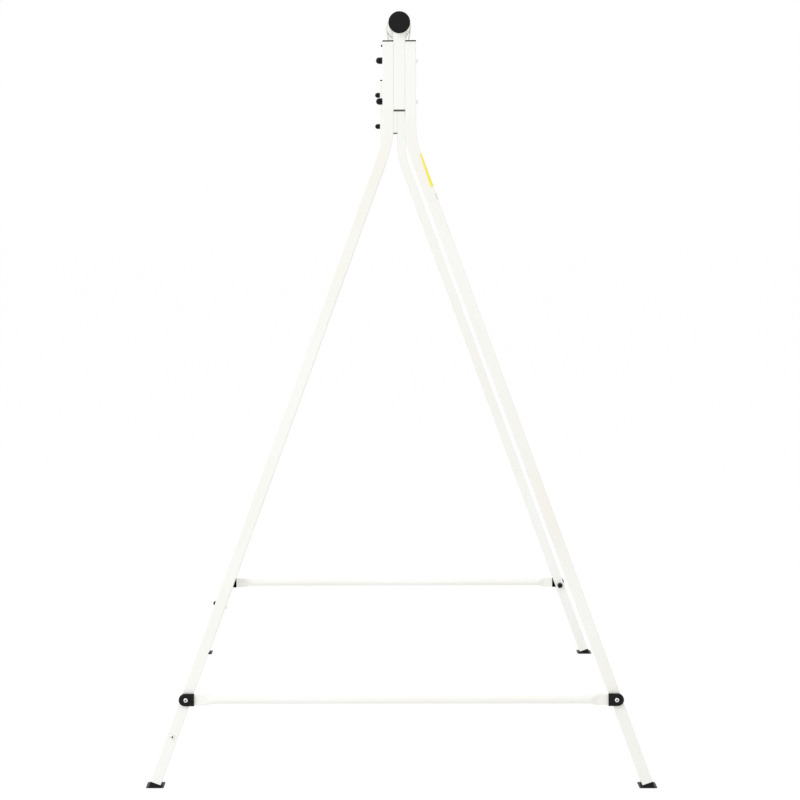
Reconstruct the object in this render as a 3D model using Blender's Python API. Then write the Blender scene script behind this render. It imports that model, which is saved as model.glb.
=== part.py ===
"""A steel swing frame: a round crossbar on two pairs of bent legs, with a brace low on each pair.

Each pair of legs is bolted either side of a short post that hangs under the crossbar, and stands on
plastic shoes. Two strap hangers for a swing turn on plastic liners round the crossbar.
Metres, +Z up, the crossbar along Y, the floor at Z = 0. The front pair of legs is at -Y.
"""

import math

import bmesh
import bpy
from mathutils import Matrix, Vector

# Clearance left between faces that touch on the real frame
GAP = 0.0003

# Crossbar and its end plugs
BAR_DIAMETER = 0.048
BAR_WALL = 0.002
BAR_LENGTH = 1.5914
BAR_HEIGHT = 1.7755
BAR_PLUG_FLANGE = 0.004
BAR_PLUG_DIAMETER = 0.0495
BAR_PLUG_DEPTH = 0.022

# How far the crossbar reaches past the middle plane of each leg pair
BAR_OVERHANG = 0.0457

# Posts that hang under the crossbar between the legs
POST_WIDTH = 0.0258
POST_WALL = 0.002
POST_CORNER = 0.0025
POST_DROP = 0.1948
POST_PLUG_FLANGE = 0.002
POST_PLUG_DEPTH = 0.009

# Legs, of flat-sided tube with its wide side along the crossbar
LEG_WIDTH = 0.025
LEG_DEPTH = 0.050
LEG_WALL = 0.0015
LEG_CORNER = 0.0025
LEG_SPREAD = 0.5816
LEG_TOP_DROP = 0.0414
LEG_BEND_DROP = 0.2654
LEG_BEND_RADIUS = 0.200
LEG_END_HEIGHT = 0.0118
LEG_PLUG_FLANGE = 0.0028
LEG_PLUG_DEPTH = 0.018

# Shoes under the legs, with a thin base that is wider than the leg
SHOE_WIDTH = 0.042
SHOE_OFFSET = 0.0023
SHOE_BASE = 0.002
SHOE_PLUG_LENGTH = 0.028
SHOE_PLUG_WALL = 0.004
SHOE_EDGE = 0.0008
SHOE_CORNER = 0.005

# Bolts that join the legs to the posts, and the domed cap nuts on them
BOLT_DIAMETER = 0.006
BOLT_HEAD_DIAMETER = 0.011
BOLT_HEAD_HEIGHT = 0.0033
BOLT_SOCKET = 0.004
BOLT_FLANGE_DIAMETER = 0.0125
BOLT_FLANGE = 0.0014
BOLT_UPPER_DROP = 0.0825
BOLT_SPACING = 0.0926
CAP_NUT_DIAMETER = 0.0152
CAP_NUT_LENGTH = 0.0147
CAP_NUT_BORE = 0.0092

# Braces with flattened ends, and the covers over those ends
BRACE_DIAMETER = 0.018
BRACE_WALL = 0.0012
BRACE_SLIT = 0.0006
BRACE_HEIGHT = 0.2123
BRACE_END = 0.0125
BRACE_FLAT_LENGTH = 0.040
BRACE_TAPER_LENGTH = 0.026
TRIM_START = -0.001
TRIM_STEPS = 8
COVER_SKIRT = 0.0009
COVER_PLATE = 0.004
COVER_RECESS = 0.0012
COVER_RECESS_DIAMETER = 0.0126
COVER_REACH = 0.0193
COVER_SHIFT = 0.0021

# Single fasteners on the left legs
SCREW_HEIGHT = 0.1236
SCREW_LENGTH = 0.016
CROSS_BOLT_HEIGHT = 0.146
RIVET_DIAMETER = 0.006
RIVET_HEAD = 0.0032
RIVET_STEM_DIAMETER = 0.0032
RIVET_STEM_LENGTH = 0.005
RIVET_DROP = 0.0074

# Bare stickers on the outer side of the front right leg
STICKER_THICKNESS = 0.0005
STICKER_LENGTH = 0.0795
STICKER_DROP = 0.0335
STICKER_WRAP_TOP = 0.0015
STICKER_WRAP_FOOT = 0.0045
TAG_LENGTH = 0.016
TAG_DROP = 0.123
TAG_WRAP = 0.0005

# Hangers that turn on the crossbar, and how far each lies inside its leg pair's middle plane
HANGER_INSET = 0.110
HANGER_DROP = 0.080
HANGER_EAR = 0.018
HANGER_TIP_RADIUS = 0.015
STRAP_THICKNESS = 0.003
LINER_WALL = 0.0017
LINER_FLANGE = 0.0006
LINER_FLANGE_WALL = 0.0016
SLEEVE_LENGTH = 0.0345
SLEEVE_DIAMETER = 0.016
PIN_DIAMETER = 0.008
PIN_HEAD_DIAMETER = 0.014
PIN_HEAD_HEIGHT = 0.0044
PIN_SOCKET = 0.005
PIN_NUT_WIDTH = 0.013
PIN_NUT_HEIGHT = 0.008
PIN_TAIL = 0.0015

# Fineness of the round shapes
BAR_SIDES = 40
BOLT_SIDES = 12
CAP_SIDES = 16
BEND_STEPS = 6
CORNER_STEPS = 2
DOME_STEPS = 4
SHOE_CORNER_STEPS = 3
HALF_TUBE_STEPS = 10
STRAP_STEPS = 16
TIP_STEPS = 4
POINT_MERGE = 0.000001
SMOOTH_ANGLE = math.radians(35)

# Places and sizes that follow from the ones above
BAR_RADIUS = BAR_DIAMETER / 2
PAIR_SPACING = BAR_LENGTH - 2 * BAR_OVERHANG
HANGER_SPACING = PAIR_SPACING - 2 * HANGER_INSET
LEG_OFFSET = POST_WIDTH / 2 + GAP + LEG_WIDTH / 2
PACK_HALF_WIDTH = POST_WIDTH / 2 + GAP + LEG_WIDTH
LEG_TOP = BAR_HEIGHT - LEG_TOP_DROP
LEG_CORNER_HEIGHT = BAR_HEIGHT - LEG_BEND_DROP
LEG_TILT = math.atan((LEG_SPREAD - LEG_OFFSET) / LEG_CORNER_HEIGHT)
LEG_TANGENT = LEG_BEND_RADIUS * math.tan(LEG_TILT / 2)
POST_BOTTOM = BAR_HEIGHT - POST_DROP
POST_DEPTH = LEG_DEPTH
HOLE_DIAMETER = BOLT_DIAMETER + 2 * GAP
BRACE_FLAT = 2 * BRACE_WALL + BRACE_SLIT
BRACE_FLAT_WIDTH = math.pi * (BRACE_DIAMETER - BRACE_FLAT) / 2 + BRACE_FLAT
BRACE_CENTRE = LEG_DEPTH / 2 + GAP + BRACE_FLAT / 2
COVER_CAVITY = GAP + BRACE_FLAT + GAP
COVER_INNER_RADIUS = BRACE_FLAT_WIDTH / 2 + GAP
COVER_RADIUS = COVER_INNER_RADIUS + COVER_SKIRT
LINER_RADIUS = BAR_RADIUS + GAP + LINER_WALL
STRAP_RADIUS = LINER_RADIUS + GAP + STRAP_THICKNESS / 2
STRAP_WIDTH = 2 * HANGER_TIP_RADIUS
STRAP_EAR = SLEEVE_LENGTH / 2 + GAP + STRAP_THICKNESS / 2
PIN_HOLE_DIAMETER = PIN_DIAMETER + 2 * GAP


def clear_scene():
    for obj in list(bpy.data.objects):
        bpy.data.objects.remove(obj, do_unlink=True)


def finish_of(name, colour, roughness, metallic):
    coat = bpy.data.materials.new(name)
    coat.use_nodes = True
    surface = coat.node_tree.nodes["Principled BSDF"]
    surface.inputs["Base Color"].default_value = (*colour, 1.0)
    surface.inputs["Roughness"].default_value = roughness
    surface.inputs["Metallic"].default_value = metallic
    coat.diffuse_color = (*colour, 1.0)
    return coat


def empty_at(name, place):
    empty = bpy.data.objects.new(name, None)
    empty.location = place
    bpy.context.scene.collection.objects.link(empty)
    return empty


def mesh_from(name, shape, coat):
    """A mesh from a bmesh, with its faces outwards and its round sides shaded smooth."""
    bmesh.ops.recalc_face_normals(shape, faces=shape.faces[:])
    mesh = bpy.data.meshes.new(name)
    shape.to_mesh(mesh)
    shape.free()
    mesh.materials.append(coat)
    mesh.shade_smooth()
    mesh.set_sharp_from_angle(angle=SMOOTH_ANGLE)
    return mesh


def place_piece(name, mesh, place, turn=(0.0, 0.0, 0.0), parent=None):
    piece = bpy.data.objects.new(name, mesh)
    piece.location = place
    piece.rotation_euler = turn
    piece.parent = parent
    bpy.context.scene.collection.objects.link(piece)
    return piece


def turn_to(direction):
    """The turn that points a piece's own +Z along a direction."""
    return Vector(direction).to_track_quat("Z", "Y").to_euler()


def turn_axes(x_axis, z_axis):
    """The turn that points a piece's own +X and +Z along two directions at right angles."""
    x_axis = Vector(x_axis)
    z_axis = Vector(z_axis)
    return Matrix((x_axis, z_axis.cross(x_axis), z_axis)).transposed().to_euler()


def cut(piece, name, cutter):
    modifier = piece.modifiers.new(name, "BOOLEAN")
    modifier.operation = "DIFFERENCE"
    modifier.object = cutter


def cut_all(piece, name, cutters):
    modifier = piece.modifiers.new(name, "BOOLEAN")
    modifier.operation = "DIFFERENCE"
    modifier.operand_type = "COLLECTION"
    modifier.collection = cutters


def hide_cutter(cutter, group=None):
    cutter.hide_render = True
    cutter.display_type = "WIRE"
    if group:
        group.objects.link(cutter)
        bpy.context.scene.collection.objects.unlink(cutter)


def drill(name, diameter, length, middle, direction, group, parent=None):
    """A round cutter of a hole, in the middle of its length at a point."""
    shape = bmesh.new()
    bmesh.ops.create_cone(
        shape, cap_ends=True, segments=BOLT_SIDES, radius1=diameter / 2, radius2=diameter / 2, depth=length
    )
    mesh = mesh_from(name, shape, STEEL)
    hide_cutter(place_piece(name, mesh, middle, turn_to(direction), parent), group)


def rounded_rectangle(width, depth, corner):
    points = []
    for side_x, side_y, start in ((1, 1, 0), (-1, 1, 90), (-1, -1, 180), (1, -1, 270)):
        for step in range(CORNER_STEPS + 1):
            angle = math.radians(start + 90 * step / CORNER_STEPS)
            x = side_x * (width / 2 - corner) + corner * math.cos(angle)
            y = side_y * (depth / 2 - corner) + corner * math.sin(angle)
            points.append((x, y))
    return points


def circle(radius, sides):
    steps = [2 * math.pi * step / sides for step in range(sides)]
    return [(radius * math.cos(angle), radius * math.sin(angle)) for angle in steps]


def hexagon(across_flats, sides):
    """A hexagon with extra points on its flats, as many in all as a circle of that many sides."""
    points = []
    for step in range(sides):
        angle = 2 * math.pi * step / sides
        from_flat = (angle + math.pi / 6) % (math.pi / 3) - math.pi / 6
        radius = across_flats / 2 / math.cos(from_flat)
        points.append((radius * math.cos(angle), radius * math.sin(angle)))
    return points


def at_height(outline, height):
    return [(x, y, height) for x, y in outline]


def skin(shape, rings):
    """Joins rings of as many points each into a closed body, with a flat end on the first and the last."""
    loops = [[shape.verts.new(point) for point in ring] for ring in rings]
    shape.faces.new(reversed(loops[0]))
    shape.faces.new(loops[-1])
    for lower, upper in zip(loops, loops[1:]):
        for step in range(len(lower)):
            shape.faces.new((lower[step - 1], lower[step], upper[step], upper[step - 1]))


def pipe_end(shape, outer, inner, height=0.0):
    """The flat ring of faces at the end of a tube."""
    edges = []
    for outline in (outer, inner):
        loop = [shape.verts.new(point) for point in at_height(outline, height)]
        edges += [shape.edges.new(pair) for pair in zip(loop, loop[1:] + loop[:1])]
    return bmesh.ops.bridge_loops(shape, edges=edges)["faces"]


def faces_of(geometry):
    return [item for item in geometry if isinstance(item, bmesh.types.BMFace)]


def with_edges(faces):
    return faces + list({edge for face in faces for edge in face.edges})


def push(shape, faces, way):
    """Extrudes faces along a straight way and returns the faces at the far end."""
    made = bmesh.ops.extrude_face_region(shape, geom=with_edges(faces))["geom"]
    verts = [item for item in made if isinstance(item, bmesh.types.BMVert)]
    bmesh.ops.translate(shape, verts=verts, vec=way)
    return faces_of(made)


def inset(shape, faces, thickness):
    bmesh.ops.inset_region(
        shape, faces=faces, thickness=thickness, use_boundary=True, use_even_offset=True
    )


def swing(shape, faces, centre, angle):
    """Extrudes faces round an arc in the XZ plane and returns the faces at the far end."""
    made = bmesh.ops.spin(
        shape, geom=with_edges(faces), cent=centre, axis=(0, 1, 0), angle=angle, steps=BEND_STEPS
    )
    return faces_of(made["geom_last"])


def turned(profile, sides):
    """A closed body turned round Z from a profile of radius and height."""
    shape = bmesh.new()
    verts = [shape.verts.new((radius, 0.0, height)) for radius, height in profile]
    edges = [shape.edges.new(pair) for pair in zip(verts, verts[1:])]
    if profile[0][0] > 0:
        edges.append(shape.edges.new((verts[-1], verts[0])))
    bmesh.ops.spin(
        shape,
        geom=verts + edges,
        cent=(0, 0, 0),
        axis=(0, 0, 1),
        angle=2 * math.pi,
        steps=sides,
        use_merge=True,
    )
    bmesh.ops.remove_doubles(shape, verts=shape.verts[:], dist=POINT_MERGE)
    return shape


def outwards(side):
    """The direction across a slanted leg, in its pair's plane, away from the middle."""
    return Vector((side * math.cos(LEG_TILT), 0.0, math.sin(LEG_TILT)))


def leg_turn(side):
    """The turn of a piece on the slanted leg: its own +Z runs up the leg and its +X points outwards."""
    return turn_axes(outwards(side), (-side * math.sin(LEG_TILT), 0.0, math.cos(LEG_TILT)))


def leg_point(side, y, height):
    """A point on a slanted leg's centre line."""
    return Vector((side * (LEG_SPREAD - height * math.tan(LEG_TILT)), y, height))


def build_crossbar():
    shape = bmesh.new()
    ring = pipe_end(
        shape, circle(BAR_RADIUS, BAR_SIDES), circle(BAR_RADIUS - BAR_WALL, BAR_SIDES), -BAR_LENGTH / 2
    )
    push(shape, ring, (0, 0, BAR_LENGTH))
    mesh = mesh_from("crossbar", shape, WHITE_COAT)
    place_piece("crossbar", mesh, (0, 0, BAR_HEIGHT), turn_to((0, 1, 0)))


def build_crossbar_plugs():
    inner = BAR_RADIUS - BAR_WALL - GAP
    outer = BAR_PLUG_DIAMETER / 2
    round_off = BAR_PLUG_FLANGE / 3
    profile = [
        (0, -BAR_PLUG_DEPTH),
        (inner - round_off, -BAR_PLUG_DEPTH),
        (inner, round_off - BAR_PLUG_DEPTH),
        (inner, GAP),
        (outer, GAP),
        (outer, GAP + BAR_PLUG_FLANGE - round_off),
        (outer - round_off, GAP + BAR_PLUG_FLANGE),
        (0, GAP + BAR_PLUG_FLANGE),
    ]
    mesh = mesh_from("crossbar_plug", turned(profile, BAR_SIDES), BLACK_PLASTIC)
    for end, along in ENDS:
        place_piece(
            f"crossbar_plug_{end}", mesh, (0, along * BAR_LENGTH / 2, BAR_HEIGHT), turn_to((0, along, 0))
        )


def build_posts(bolt_holes):
    """The posts are cut to the round of the crossbar, where they are welded on."""
    shape = bmesh.new()
    ring = pipe_end(
        shape,
        rounded_rectangle(POST_WIDTH, POST_DEPTH, POST_CORNER),
        rounded_rectangle(POST_WIDTH - 2 * POST_WALL, POST_DEPTH - 2 * POST_WALL, POST_CORNER - POST_WALL),
    )
    push(shape, ring, (0, 0, POST_DROP))
    mesh = mesh_from("drop_post", shape, WHITE_COAT)
    for end, along in ENDS:
        y = along * PAIR_SPACING / 2
        name = f"bar_seat_{end}"
        drilled = bmesh.new()
        skin(
            drilled,
            [at_height(circle(BAR_RADIUS + GAP, BAR_SIDES), side * POST_DEPTH) for side in (-1, 1)],
        )
        seat = place_piece(
            name, mesh_from(name, drilled, STEEL), (0, y, BAR_HEIGHT), turn_to((0, 1, 0))
        )
        hide_cutter(seat)
        post = place_piece(f"drop_post_{end}", mesh, (0, y, POST_BOTTOM))
        cut(post, "bar_seat", seat)
        cut_all(post, "bolt_holes", bolt_holes)


def tube_plug(width, depth, wall, corner, flange, length):
    """A plug for a flat-sided tube: its flange lies on the tube's end and faces +Z."""
    shape = bmesh.new()
    thinner = 2 * (wall + GAP)
    edge = flange / 3
    insert = rounded_rectangle(width - thinner, depth - thinner, corner - wall)
    full = rounded_rectangle(width, depth, corner)
    top = rounded_rectangle(width - 2 * edge, depth - 2 * edge, corner - edge)
    skin(
        shape,
        [
            at_height(insert, GAP - length),
            at_height(insert, GAP),
            at_height(full, GAP),
            at_height(full, GAP + flange - edge),
            at_height(top, GAP + flange),
        ],
    )
    return shape


def build_post_plugs():
    shape = tube_plug(POST_WIDTH, POST_DEPTH, POST_WALL, POST_CORNER, POST_PLUG_FLANGE, POST_PLUG_DEPTH)
    mesh = mesh_from("drop_post_plug", shape, BLACK_PLASTIC)
    for end, along in ENDS:
        place_piece(
            f"drop_post_plug_{end}", mesh, (0, along * PAIR_SPACING / 2, POST_BOTTOM), turn_to((0, 0, -1))
        )


def build_legs(bolt_holes):
    """One leg for all four places: straight down beside the post, bent outwards, then straight to the shoe."""
    shape = bmesh.new()
    faces = pipe_end(
        shape,
        rounded_rectangle(LEG_WIDTH, LEG_DEPTH, LEG_CORNER),
        rounded_rectangle(LEG_WIDTH - 2 * LEG_WALL, LEG_DEPTH - 2 * LEG_WALL, LEG_CORNER - LEG_WALL),
    )
    bend_start = LEG_CORNER_HEIGHT + LEG_TANGENT - LEG_TOP
    faces = push(shape, faces, (0, 0, bend_start))
    faces = swing(shape, faces, (LEG_BEND_RADIUS, 0, bend_start), -LEG_TILT)
    slant = (LEG_CORNER_HEIGHT - LEG_END_HEIGHT) / math.cos(LEG_TILT) - LEG_TANGENT
    push(shape, faces, (slant * math.sin(LEG_TILT), 0, -slant * math.cos(LEG_TILT)))
    mesh = mesh_from("leg", shape, WHITE_COAT)
    for end, along, hand, side in CORNERS:
        place = (side * LEG_OFFSET, along * PAIR_SPACING / 2, LEG_TOP)
        leg = place_piece(f"leg_{end}_{hand}", mesh, place, turn_axes((side, 0, 0), (0, 0, 1)))
        cut_all(leg, "bolt_holes", bolt_holes)


def build_leg_plugs(bolt_holes):
    shape = tube_plug(LEG_WIDTH, LEG_DEPTH, LEG_WALL, LEG_CORNER, LEG_PLUG_FLANGE, LEG_PLUG_DEPTH)
    mesh = mesh_from("leg_plug", shape, BLACK_PLASTIC)
    for end, along, hand, side in CORNERS:
        place = (side * LEG_OFFSET, along * PAIR_SPACING / 2, LEG_TOP)
        plug = place_piece(f"leg_plug_{end}_{hand}", mesh, place)
        cut_all(plug, "rivet_hole", bolt_holes)


def build_shoes():
    """A shoe levels the leg's square end to the floor: a wedge on a wide thin base, with a plug in the leg."""
    up_leg = Vector((-math.sin(LEG_TILT), 0.0, math.cos(LEG_TILT)))
    seat = Vector((0.0, 0.0, LEG_END_HEIGHT)) - up_leg * GAP
    sides = [seat + outwards(1) * side * LEG_WIDTH / 2 for side in (1, -1)]
    outer, inner = [(side.x, side.z) for side in sides]
    outer_foot, inner_foot = [
        (side.x - up_leg.x * (side.z - SHOE_BASE) / up_leg.z, SHOE_BASE) for side in sides
    ]
    base_inner, base_outer = [SHOE_OFFSET + side * SHOE_WIDTH / 2 for side in (-1, 1)]
    outline = [
        (base_inner, 0.0),
        (base_outer, 0.0),
        (base_outer, SHOE_BASE),
        outer_foot,
        outer,
        inner,
        inner_foot,
        (base_inner, SHOE_BASE),
    ]
    shape = bmesh.new()
    verts = [shape.verts.new((x, -LEG_DEPTH / 2, z)) for x, z in outline]
    push(shape, [shape.faces.new(verts)], (0, LEG_DEPTH, 0))
    shape.normal_update()
    plug_seat = [min(shape.faces, key=lambda face: (face.calc_center_median() - seat).length)]
    inset(shape, plug_seat, LEG_WALL + 3 * GAP)
    plug_end = push(shape, plug_seat, up_leg * SHOE_PLUG_LENGTH)
    inset(shape, plug_end, SHOE_PLUG_WALL)
    push(shape, plug_end, up_leg * (SHOE_PLUG_WALL - SHOE_PLUG_LENGTH))
    bmesh.ops.recalc_face_normals(shape, faces=shape.faces[:])
    base_ends = [face for face in shape.faces if abs(face.normal.x) > math.cos(LEG_TILT / 2)]
    uprights = []
    for face in base_ends:
        uprights += [edge for edge in face.edges if abs(edge.verts[0].co.z - edge.verts[1].co.z) > GAP]
    bmesh.ops.bevel(
        shape, geom=uprights, offset=SHOE_CORNER, segments=SHOE_CORNER_STEPS, profile=0.5, affect="EDGES"
    )
    corners = [edge for edge in shape.edges if edge.is_convex and edge.calc_face_angle() > SMOOTH_ANGLE]
    bmesh.ops.bevel(shape, geom=corners, offset=SHOE_EDGE, segments=1, profile=0.5, affect="EDGES")
    mesh = mesh_from("foot", shape, BLACK_PLASTIC)
    for end, along, hand, side in CORNERS:
        place = leg_point(side, along * PAIR_SPACING / 2, LEG_END_HEIGHT)
        place.z = 0
        place_piece(f"foot_{end}_{hand}", mesh, place, turn_axes((side, 0, 0), (0, 0, 1)))


def flattened_ring(x, roundness, bore):
    """A ring of the brace at x, from flat at 0 to round at 1, on its outside or its bore."""
    across = BRACE_FLAT + (BRACE_DIAMETER - BRACE_FLAT) * roundness
    half_flat = math.pi * (BRACE_DIAMETER - across) / 4
    radius = across / 2 - (BRACE_WALL if bore else 0)
    points = []
    for end in (1, -1):
        for step in range(HALF_TUBE_STEPS):
            angle = math.pi * (step + 0.5) / HALF_TUBE_STEPS
            points.append((x, end * radius * math.cos(angle), end * (half_flat + radius * math.sin(angle))))
    return points


def build_braces(bolt_holes):
    """A round tube with both ends pressed flat and cropped round. The bore stays open as a slit."""
    half_length = leg_point(1, 0, BRACE_HEIGHT).x + BRACE_END
    stations = []
    flat_end = half_length - BRACE_END - BRACE_FLAT_LENGTH
    for x, roundness in (
        (half_length, 0),
        (flat_end, 0),
        (flat_end - BRACE_TAPER_LENGTH / 3, 0.2),
        (flat_end - 2 * BRACE_TAPER_LENGTH / 3, 0.8),
        (flat_end - BRACE_TAPER_LENGTH, 1),
    ):
        stations.append((x, roundness))
    stations += [(-x, roundness) for x, roundness in reversed(stations)]
    shape = bmesh.new()
    loops = []
    for bore in (False, True):
        for x, roundness in reversed(stations) if bore else stations:
            loops.append([shape.verts.new(point) for point in flattened_ring(x, roundness, bore)])
    for lower, upper in zip(loops, loops[1:] + loops[:1]):
        for step in range(len(lower)):
            shape.faces.new((lower[step - 1], lower[step], upper[step], upper[step - 1]))
    mesh = mesh_from("brace", shape, WHITE_COAT)
    trim = bmesh.new()
    radius = BRACE_FLAT_WIDTH / 2
    outline = [(-2 * radius, 2 * radius), (-2 * radius, -2 * radius), (TRIM_START, -2 * radius)]
    steps = [math.acos(-TRIM_START / radius) * (1 - 2 * step / TRIM_STEPS) for step in range(TRIM_STEPS + 1)]
    outline += [(radius * math.cos(math.pi - angle), -radius * math.sin(angle)) for angle in steps]
    outline.append((TRIM_START, 2 * radius))
    skin(trim, [at_height(outline, side * BRACE_DIAMETER) for side in (-1, 1)])
    trim_mesh = mesh_from("end_trim", trim, STEEL)
    for end, along in ENDS:
        y = along * (PAIR_SPACING / 2 + BRACE_CENTRE)
        brace = place_piece(f"brace_{end}", mesh, (0, y, BRACE_HEIGHT))
        for hand, side in HANDS:
            place = leg_point(side, y, BRACE_HEIGHT)
            end_trim = place_piece(
                f"end_trim_{end}_{hand}", trim_mesh, place, turn_axes((-side, 0, 0), (0, along, 0))
            )
            hide_cutter(end_trim)
            cut(brace, f"{hand}_end", end_trim)
        cut_all(brace, "bolt_holes", bolt_holes)


def cover_outline(radius, reach):
    """A half circle round the brace's end, with straight sides that run to a square end."""
    points = [(reach, -radius), (reach, radius)]
    for step in range(HALF_TUBE_STEPS + 1):
        angle = math.pi * (0.5 + step / HALF_TUBE_STEPS)
        points.append((radius * math.cos(angle) - COVER_SHIFT, radius * math.sin(angle)))
    return points


def build_brace_covers(bolt_holes):
    shape = bmesh.new()
    outline = cover_outline(COVER_RADIUS, COVER_REACH)
    edge = COVER_PLATE / 3
    top = cover_outline(COVER_RADIUS - edge, COVER_REACH - edge)
    deep = COVER_CAVITY + COVER_PLATE
    skin(shape, [at_height(outline, GAP), at_height(outline, deep - edge), at_height(top, deep)])
    mesh = mesh_from("brace_cover", shape, BLACK_PLASTIC)
    hollow = bmesh.new()
    outline = cover_outline(COVER_INNER_RADIUS, 2 * COVER_REACH)
    skin(hollow, [at_height(outline, -COVER_CAVITY), at_height(outline, COVER_CAVITY)])
    hollow_mesh = mesh_from("cover_hollow", hollow, STEEL)
    for end, along, hand, side in CORNERS:
        place = leg_point(side, along * (PAIR_SPACING + LEG_DEPTH) / 2, BRACE_HEIGHT)
        turn = turn_axes((-side, 0, 0), (0, along, 0))
        hollow_cutter = place_piece(f"cover_hollow_{end}_{hand}", hollow_mesh, place, turn)
        hide_cutter(hollow_cutter)
        cover = place_piece(f"brace_cover_{end}_{hand}", mesh, place, turn)
        cut(cover, "hollow", hollow_cutter)
        cut_all(cover, "bolt_holes", bolt_holes)


def bolt_mesh(name, length, diameter, head_diameter, head_height, socket, flange=None):
    """A bolt with a domed hexagon-socket head: its head's seat is at 0 and its shank runs down."""
    shape = bmesh.new()
    radius = diameter / 2
    chamfer = diameter / 8
    foot = 0.0
    rings = [
        at_height(circle(radius - chamfer, BOLT_SIDES), -length),
        at_height(circle(radius, BOLT_SIDES), chamfer - length),
        at_height(circle(radius, BOLT_SIDES), 0),
    ]
    if flange:
        flange_diameter, foot = flange
        rings += [at_height(circle(flange_diameter / 2, BOLT_SIDES), height) for height in (0, foot)]
    for across, rise in ((1.0, 0.0), (0.98, 0.35), (0.82, 0.8), (0.6, 1.0)):
        rings.append(at_height(circle(across * head_diameter / 2, BOLT_SIDES), foot + rise * head_height))
    for rise in (1.0, 0.45):
        rings.append(at_height(hexagon(socket, BOLT_SIDES), foot + rise * head_height))
    skin(shape, rings)
    return mesh_from(name, shape, STEEL)


def cap_nut_mesh():
    """A domed nut moulded over in plastic: its seat is at 0, its bore is blind and its dome faces +Z."""
    radius = CAP_NUT_DIAMETER / 2
    bore = HOLE_DIAMETER / 2
    dome = CAP_NUT_LENGTH - radius
    profile = [(bore, 0), (radius, 0), (radius, dome)]
    for step in range(1, DOME_STEPS):
        angle = math.pi / 2 * step / DOME_STEPS
        profile.append((radius * math.cos(angle), dome + radius * math.sin(angle)))
    profile += [(0, CAP_NUT_LENGTH), (0, CAP_NUT_BORE), (bore, CAP_NUT_BORE)]
    shape = bmesh.new()
    verts = [shape.verts.new((across, 0.0, height)) for across, height in profile]
    edges = [shape.edges.new(pair) for pair in zip(verts[:-3], verts[1:-2])]
    edges.append(shape.edges.new((verts[-2], verts[-1])))
    edges.append(shape.edges.new((verts[-1], verts[0])))
    bmesh.ops.spin(
        shape,
        geom=verts + edges,
        cent=(0, 0, 0),
        axis=(0, 0, 1),
        angle=2 * math.pi,
        steps=CAP_SIDES,
        use_merge=True,
    )
    bmesh.ops.remove_doubles(shape, verts=shape.verts[:], dist=POINT_MERGE)
    return mesh_from("cap_nut", shape, BLACK_PLASTIC)


def build_post_bolts(cap_nut, bolt_holes):
    """Two bolts through each pair of leg tops and its post, with heads at +X and cap nuts at -X."""
    seat = PACK_HALF_WIDTH + GAP
    length = 2 * seat + CAP_NUT_BORE - GAP
    flange = (BOLT_FLANGE_DIAMETER, BOLT_FLANGE)
    mesh = bolt_mesh(
        "post_bolt", length, BOLT_DIAMETER, BOLT_HEAD_DIAMETER, BOLT_HEAD_HEIGHT, BOLT_SOCKET, flange
    )
    for end, along in ENDS:
        for level, drop in (("upper", BOLT_UPPER_DROP), ("lower", BOLT_UPPER_DROP + BOLT_SPACING)):
            y = along * PAIR_SPACING / 2
            height = BAR_HEIGHT - drop
            drill(
                f"post_bolt_hole_{end}_{level}",
                HOLE_DIAMETER,
                4 * PACK_HALF_WIDTH,
                (0, y, height),
                (1, 0, 0),
                bolt_holes,
            )
            place_piece(f"post_bolt_{end}_{level}", mesh, (seat, y, height), turn_to((1, 0, 0)))
            place_piece(f"post_cap_nut_{end}_{level}", cap_nut, (-seat, y, height), turn_to((-1, 0, 0)))


def build_brace_bolts(cap_nut, bolt_holes):
    """A bolt through each cover, flattened brace end and leg, with its cap nut on the inner side."""
    outer_seat = LEG_DEPTH / 2 + COVER_CAVITY + COVER_PLATE - COVER_RECESS + GAP
    inner_seat = LEG_DEPTH / 2 + GAP
    length = outer_seat + inner_seat + CAP_NUT_BORE - GAP
    mesh = bolt_mesh(
        "brace_bolt", length, BOLT_DIAMETER, BOLT_HEAD_DIAMETER, BOLT_HEAD_HEIGHT, BOLT_SOCKET
    )
    for end, along, hand, side in CORNERS:
        middle = leg_point(side, along * PAIR_SPACING / 2, BRACE_HEIGHT)
        out = Vector((0, along, 0))
        drill(f"brace_bolt_hole_{end}_{hand}", HOLE_DIAMETER, 3 * LEG_DEPTH, middle, out, bolt_holes)
        recess = middle + out * (outer_seat - GAP + BOLT_DIAMETER)
        drill(
            f"recess_{end}_{hand}", COVER_RECESS_DIAMETER, 2 * BOLT_DIAMETER, recess, out, bolt_holes
        )
        place_piece(f"brace_bolt_{end}_{hand}", mesh, middle + out * outer_seat, turn_to(out))
        place_piece(f"brace_cap_nut_{end}_{hand}", cap_nut, middle - out * inner_seat, turn_to(-out))


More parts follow.
